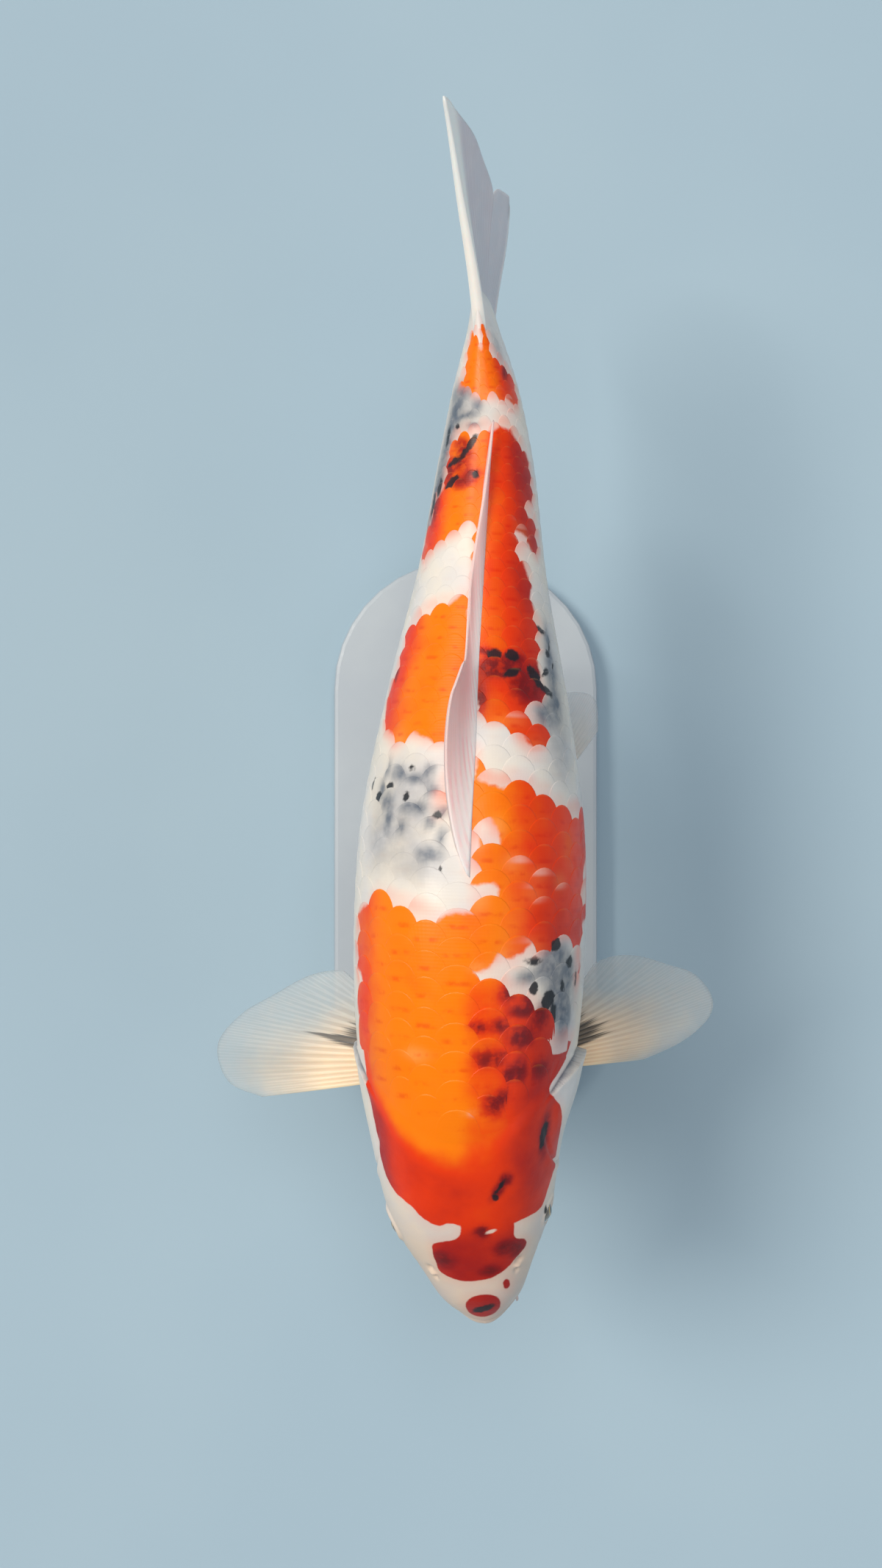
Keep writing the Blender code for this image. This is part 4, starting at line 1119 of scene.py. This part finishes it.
def fin_marks(kind, side, share, out):
    """Over a fin, from 0 to 1: how milky its web is, how dark its streaks, and how full its leading edge.

    Dark strands run out along the rays of the front pair, three to a ray, each with its own chance length.
    """
    share, out = share[:, None], out[None, :]
    milk, dark, full = 1 - rise(out, 0.05, 0.75) + 0 * share, 0 * share * out, 0 * share * out
    if kind in ("pectoral_fin", "pelvic_fin"):
        milk = rise(0.50 * (1 - share) + 0.95 * (1 - out), 0.35, 1.10)
    if kind == "tail_fin":
        off_middle = 2 * share - 1
        full = np.maximum(rise(off_middle, 0.66, 0.88), 0.45 * rise(-off_middle, 0.84, 0.97)) + 0 * out
        milk = np.maximum(full, 0.45 * (1 - rise(out, 0.0, 0.30)))
        dark = 0.42 * bump(off_middle + 0.84, 0.12) * rise(out, 0.84, 0.92)
    if kind == "pectoral_fin":
        rays = FIN_RAYS[kind]
        strands = 3 * rays
        number = np.minimum((share * strands).astype(int), strands - 1)
        centre, off_ray = (number + 0.5) / strands, np.abs(share * strands - number - 0.5) * 2
        if side < 0:
            reach = 0.15 * bump(centre - 0.57, 0.05)
            reach += 0.14 * rise(centre, 0.45, 0.50) * (1 - rise(centre, 0.76, 0.86))
        else:
            reach = 0.15 * rise(centre, 0.34, 0.46) * (1 - rise(centre, 0.86, 0.96))
            reach *= 1 - 0.6 * bump(centre - 0.73, 0.05)
        chance = 0.55 + 0.75 * np.random.default_rng(4).random(strands)[number]
        reach = reach * chance + UNDER_BODY * (reach > 0.03)
        dark = rise(reach * (1 - 0.12 * off_ray**2) - out, -0.03, 0.06)
    return milk, dark, full


def shell_faces(rows, columns):
    """Faces of a closed thin shell: a top grid, the same one reversed below it, and walls around."""
    i, j = np.meshgrid(np.arange(rows - 1), np.arange(columns - 1), indexing="ij")
    at = i * columns + j
    top = np.stack([at, at + columns, at + columns + 1, at + 1], -1).reshape(-1, 4)
    below = top[:, ::-1] + rows * columns
    a, b = np.arange(rows), np.arange(columns)
    down, up = a[:-1] * columns, a[:0:-1] * columns + columns - 1
    border = np.concatenate([down, (rows - 1) * columns + b[:-1], up, b[:0:-1]])
    ahead = np.roll(border, -1)
    walls = np.stack([ahead, border, border + rows * columns, ahead + rows * columns], -1)
    return np.concatenate([top, below, walls])


def make_fin(node_name, kind, shape, side, finish):
    """A fin from its middle surface: each side stands off by half the thickness, fuller along each ray."""
    rays = FIN_RAYS[kind]
    share, out = np.linspace(0, 1, rays * STEPS_A_RAY + 1), np.linspace(0, 1, FIN_STEPS)
    middle = shape(side, share, out)
    outer = out[None, :, None]
    normal = np.cross(np.gradient(middle, axis=0), np.gradient(middle, axis=1))
    normal /= np.maximum(np.linalg.norm(normal, axis=-1, keepdims=True), 1e-12)
    wave = (kind != "dorsal_fin") * 0.0006 * outer**2 * np.sin(share * rays * 0.9 + 1.3)[:, None, None]
    milk, dark, full = fin_marks(kind, side, share, out)
    thick, thin = FIN_THICKNESS[kind]
    rib = 0.015 if kind == "dorsal_fin" else 0.06
    fullness = 1 - rib * np.cos(math.pi * share * rays)[:, None, None] ** 2
    edge = np.sqrt(np.clip(1 - np.maximum((outer - 0.97) / 0.03, 0) ** 2 * 0.8, 0, 1))
    leading = EDGE_BULK * (full * (1 - 0.8 * out))[..., None]
    stand_off = ((thick + (thin - thick) * outer) / 2 * fullness + leading) * edge
    grids = [middle + (wave + way * stand_off) * normal for way in (1, -1)]
    points = along_spine(np.concatenate([grid.reshape(-1, 3) for grid in grids]))
    faces = shell_faces(len(share), len(out))
    fin = make_piece(node_name + "_web", points, faces)
    number = np.broadcast_to((share * rays)[:, None], middle.shape[:2])
    outward_share = np.broadcast_to(out[None, :], middle.shape[:2])
    values = np.stack([number, outward_share, dark, milk], -1).reshape(-1, 4)
    paint(fin, "fin", np.concatenate([values, values]))
    fin.data.materials.append(finish)
    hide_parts(node_name)
    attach(fin, "root")


for kind, shape in (("dorsal_fin", dorsal_fin), ("tail_fin", tail_fin), ("anal_fin", anal_fin)):
    make_fin(kind, kind, shape, 0, fin_finish(kind))
for kind, shape in (("pectoral_fin", pectoral_fin), ("pelvic_fin", pelvic_fin)):
    fin_resin = fin_finish(kind)
    make_fin(kind + "_left", kind, shape, 1, fin_resin)
    make_fin(kind + "_right", kind, shape, -1, fin_resin)


# ---- Stand ----------------------------------------------------------------------------------------
# The stand is a board with rounded corners in satin lacquer, and two turned steel rods that hold the fish
# under its chest and tail stalk. Both keep the shape of their solids and get their finish here.


def lacquer_finish():
    """Grey lacquer with a faint cloud in its colour and an even, fine orange-peel surface."""
    material, tree, shader = new_material("satin_lacquer")
    shown = mixed(drifting(tree, 60), (0.42, 0.46, 0.50, 1), (0.46, 0.50, 0.53, 1))
    relief = bumped(grain(tree, 1.2), 0.08, 0.0003)
    set_shader(shader, Base_Color=shown, Roughness=drifting(tree, 3, 0.36, 0.46), Normal=relief)
    return material


def steel_finish():
    """Turned steel: fine rings around the rod, from noise drawn out across its length."""
    material, tree, shader = new_material("turned_steel")
    drawn = node(tree, "Mapping", {"Vector": node(tree, "TexCoord")["Object"], "Scale": (40, 40, 3000)})
    rings = node(tree, "TexNoise", {"Vector": drawn, "Scale": 1.0, "Detail": 2.0})
    shown = mixed(rings, (0.50, 0.50, 0.49, 1), (0.68, 0.68, 0.66, 1))
    set_shader(shader, Base_Color=shown, Roughness=stepped(rings, 0.3, 0.7, 0.24, 0.38), Metallic=1.0)
    return material


turned_steel = steel_finish()
stand = {"stand_base": lacquer_finish(), "stand_rod_front": turned_steel, "stand_rod_rear": turned_steel}
for node_name, finish in stand.items():
    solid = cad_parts[node_name]
    solid.data.materials.clear()
    solid.data.materials.append(finish)


# ---- Floor, light and camera ----------------------------------------------------------------------
# A plain pale floor, broad warm lamps above and to the fish's right, a weaker cool one to its left, and a
# camera that looks straight down on its back.

FLOOR_SIZE = 60.0
CAMERA_ABOVE_AXIS = 1.0
CAMERA_X, CAMERA_Y = -0.015, 0.039
LAMPS = {  # place, breadth in degrees as seen from the fish, light on it in watts a square metre, colour
    "lamp_key": ((-1.35, 0.65, 2.05), 26, 2.00, (1.0, 0.95, 0.87)),
    "lamp_top": ((-0.10, 0.90, 2.40), 34, 0.95, (1.0, 0.98, 0.95)),
    "lamp_fill": ((1.60, -0.40, 1.50), 42, 0.32, (0.78, 0.88, 1.0)),
}


def floor_finish():
    material, tree, shader = new_material("pale_floor")
    shown = mixed(drifting(tree, 300), (0.36, 0.48, 0.56, 1), (0.38, 0.50, 0.575, 1))
    set_shader(shader, Base_Color=shown, Roughness=0.85)
    return material


corners = [(x * FLOOR_SIZE / 2, y * FLOOR_SIZE / 2, 0) for x, y in ((-1, -1), (1, -1), (1, 1), (-1, 1))]
floor = make_piece("floor", corners, [(0, 1, 2, 3)])
floor.data.materials.append(floor_finish())
floor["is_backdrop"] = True

world = bpy.data.worlds.new("studio")
world.use_nodes = True
fill(world.node_tree.nodes["Background"].inputs, {"Color": (0.86, 0.92, 1.0, 1), "Strength": 0.29})
bpy.context.scene.world = world

for name, (place, breadth_deg, strength, colour) in LAMPS.items():
    lamp = bpy.data.lights.new(name, "SUN")
    lamp.angle, lamp.energy, lamp.color = math.radians(breadth_deg), strength, colour
    holder = bpy.data.objects.new(name, lamp)
    holder.location = place
    aim = np.array((0, 0.1, AXIS_HEIGHT)) - place
    holder.rotation_euler = (math.acos(-aim[2] / np.linalg.norm(aim)), 0, math.atan2(-aim[0], aim[1]))
    bpy.context.scene.collection.objects.link(holder)

lens = bpy.data.cameras.new("camera")
lens.lens, lens.sensor_width, lens.clip_start = 45, 36, 0.01
camera = bpy.data.objects.new("camera", lens)
camera.location = (CAMERA_X, CAMERA_Y, AXIS_HEIGHT + CAMERA_ABOVE_AXIS)
bpy.context.scene.collection.objects.link(camera)
bpy.context.scene.camera = camera


# ---- Sizes and finish -----------------------------------------------------------------------------

boxes = {"cad": cad_box, "visual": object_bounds()}
{name: [list(map(float, corner)) for corner in box] for name, box in boxes.items()}
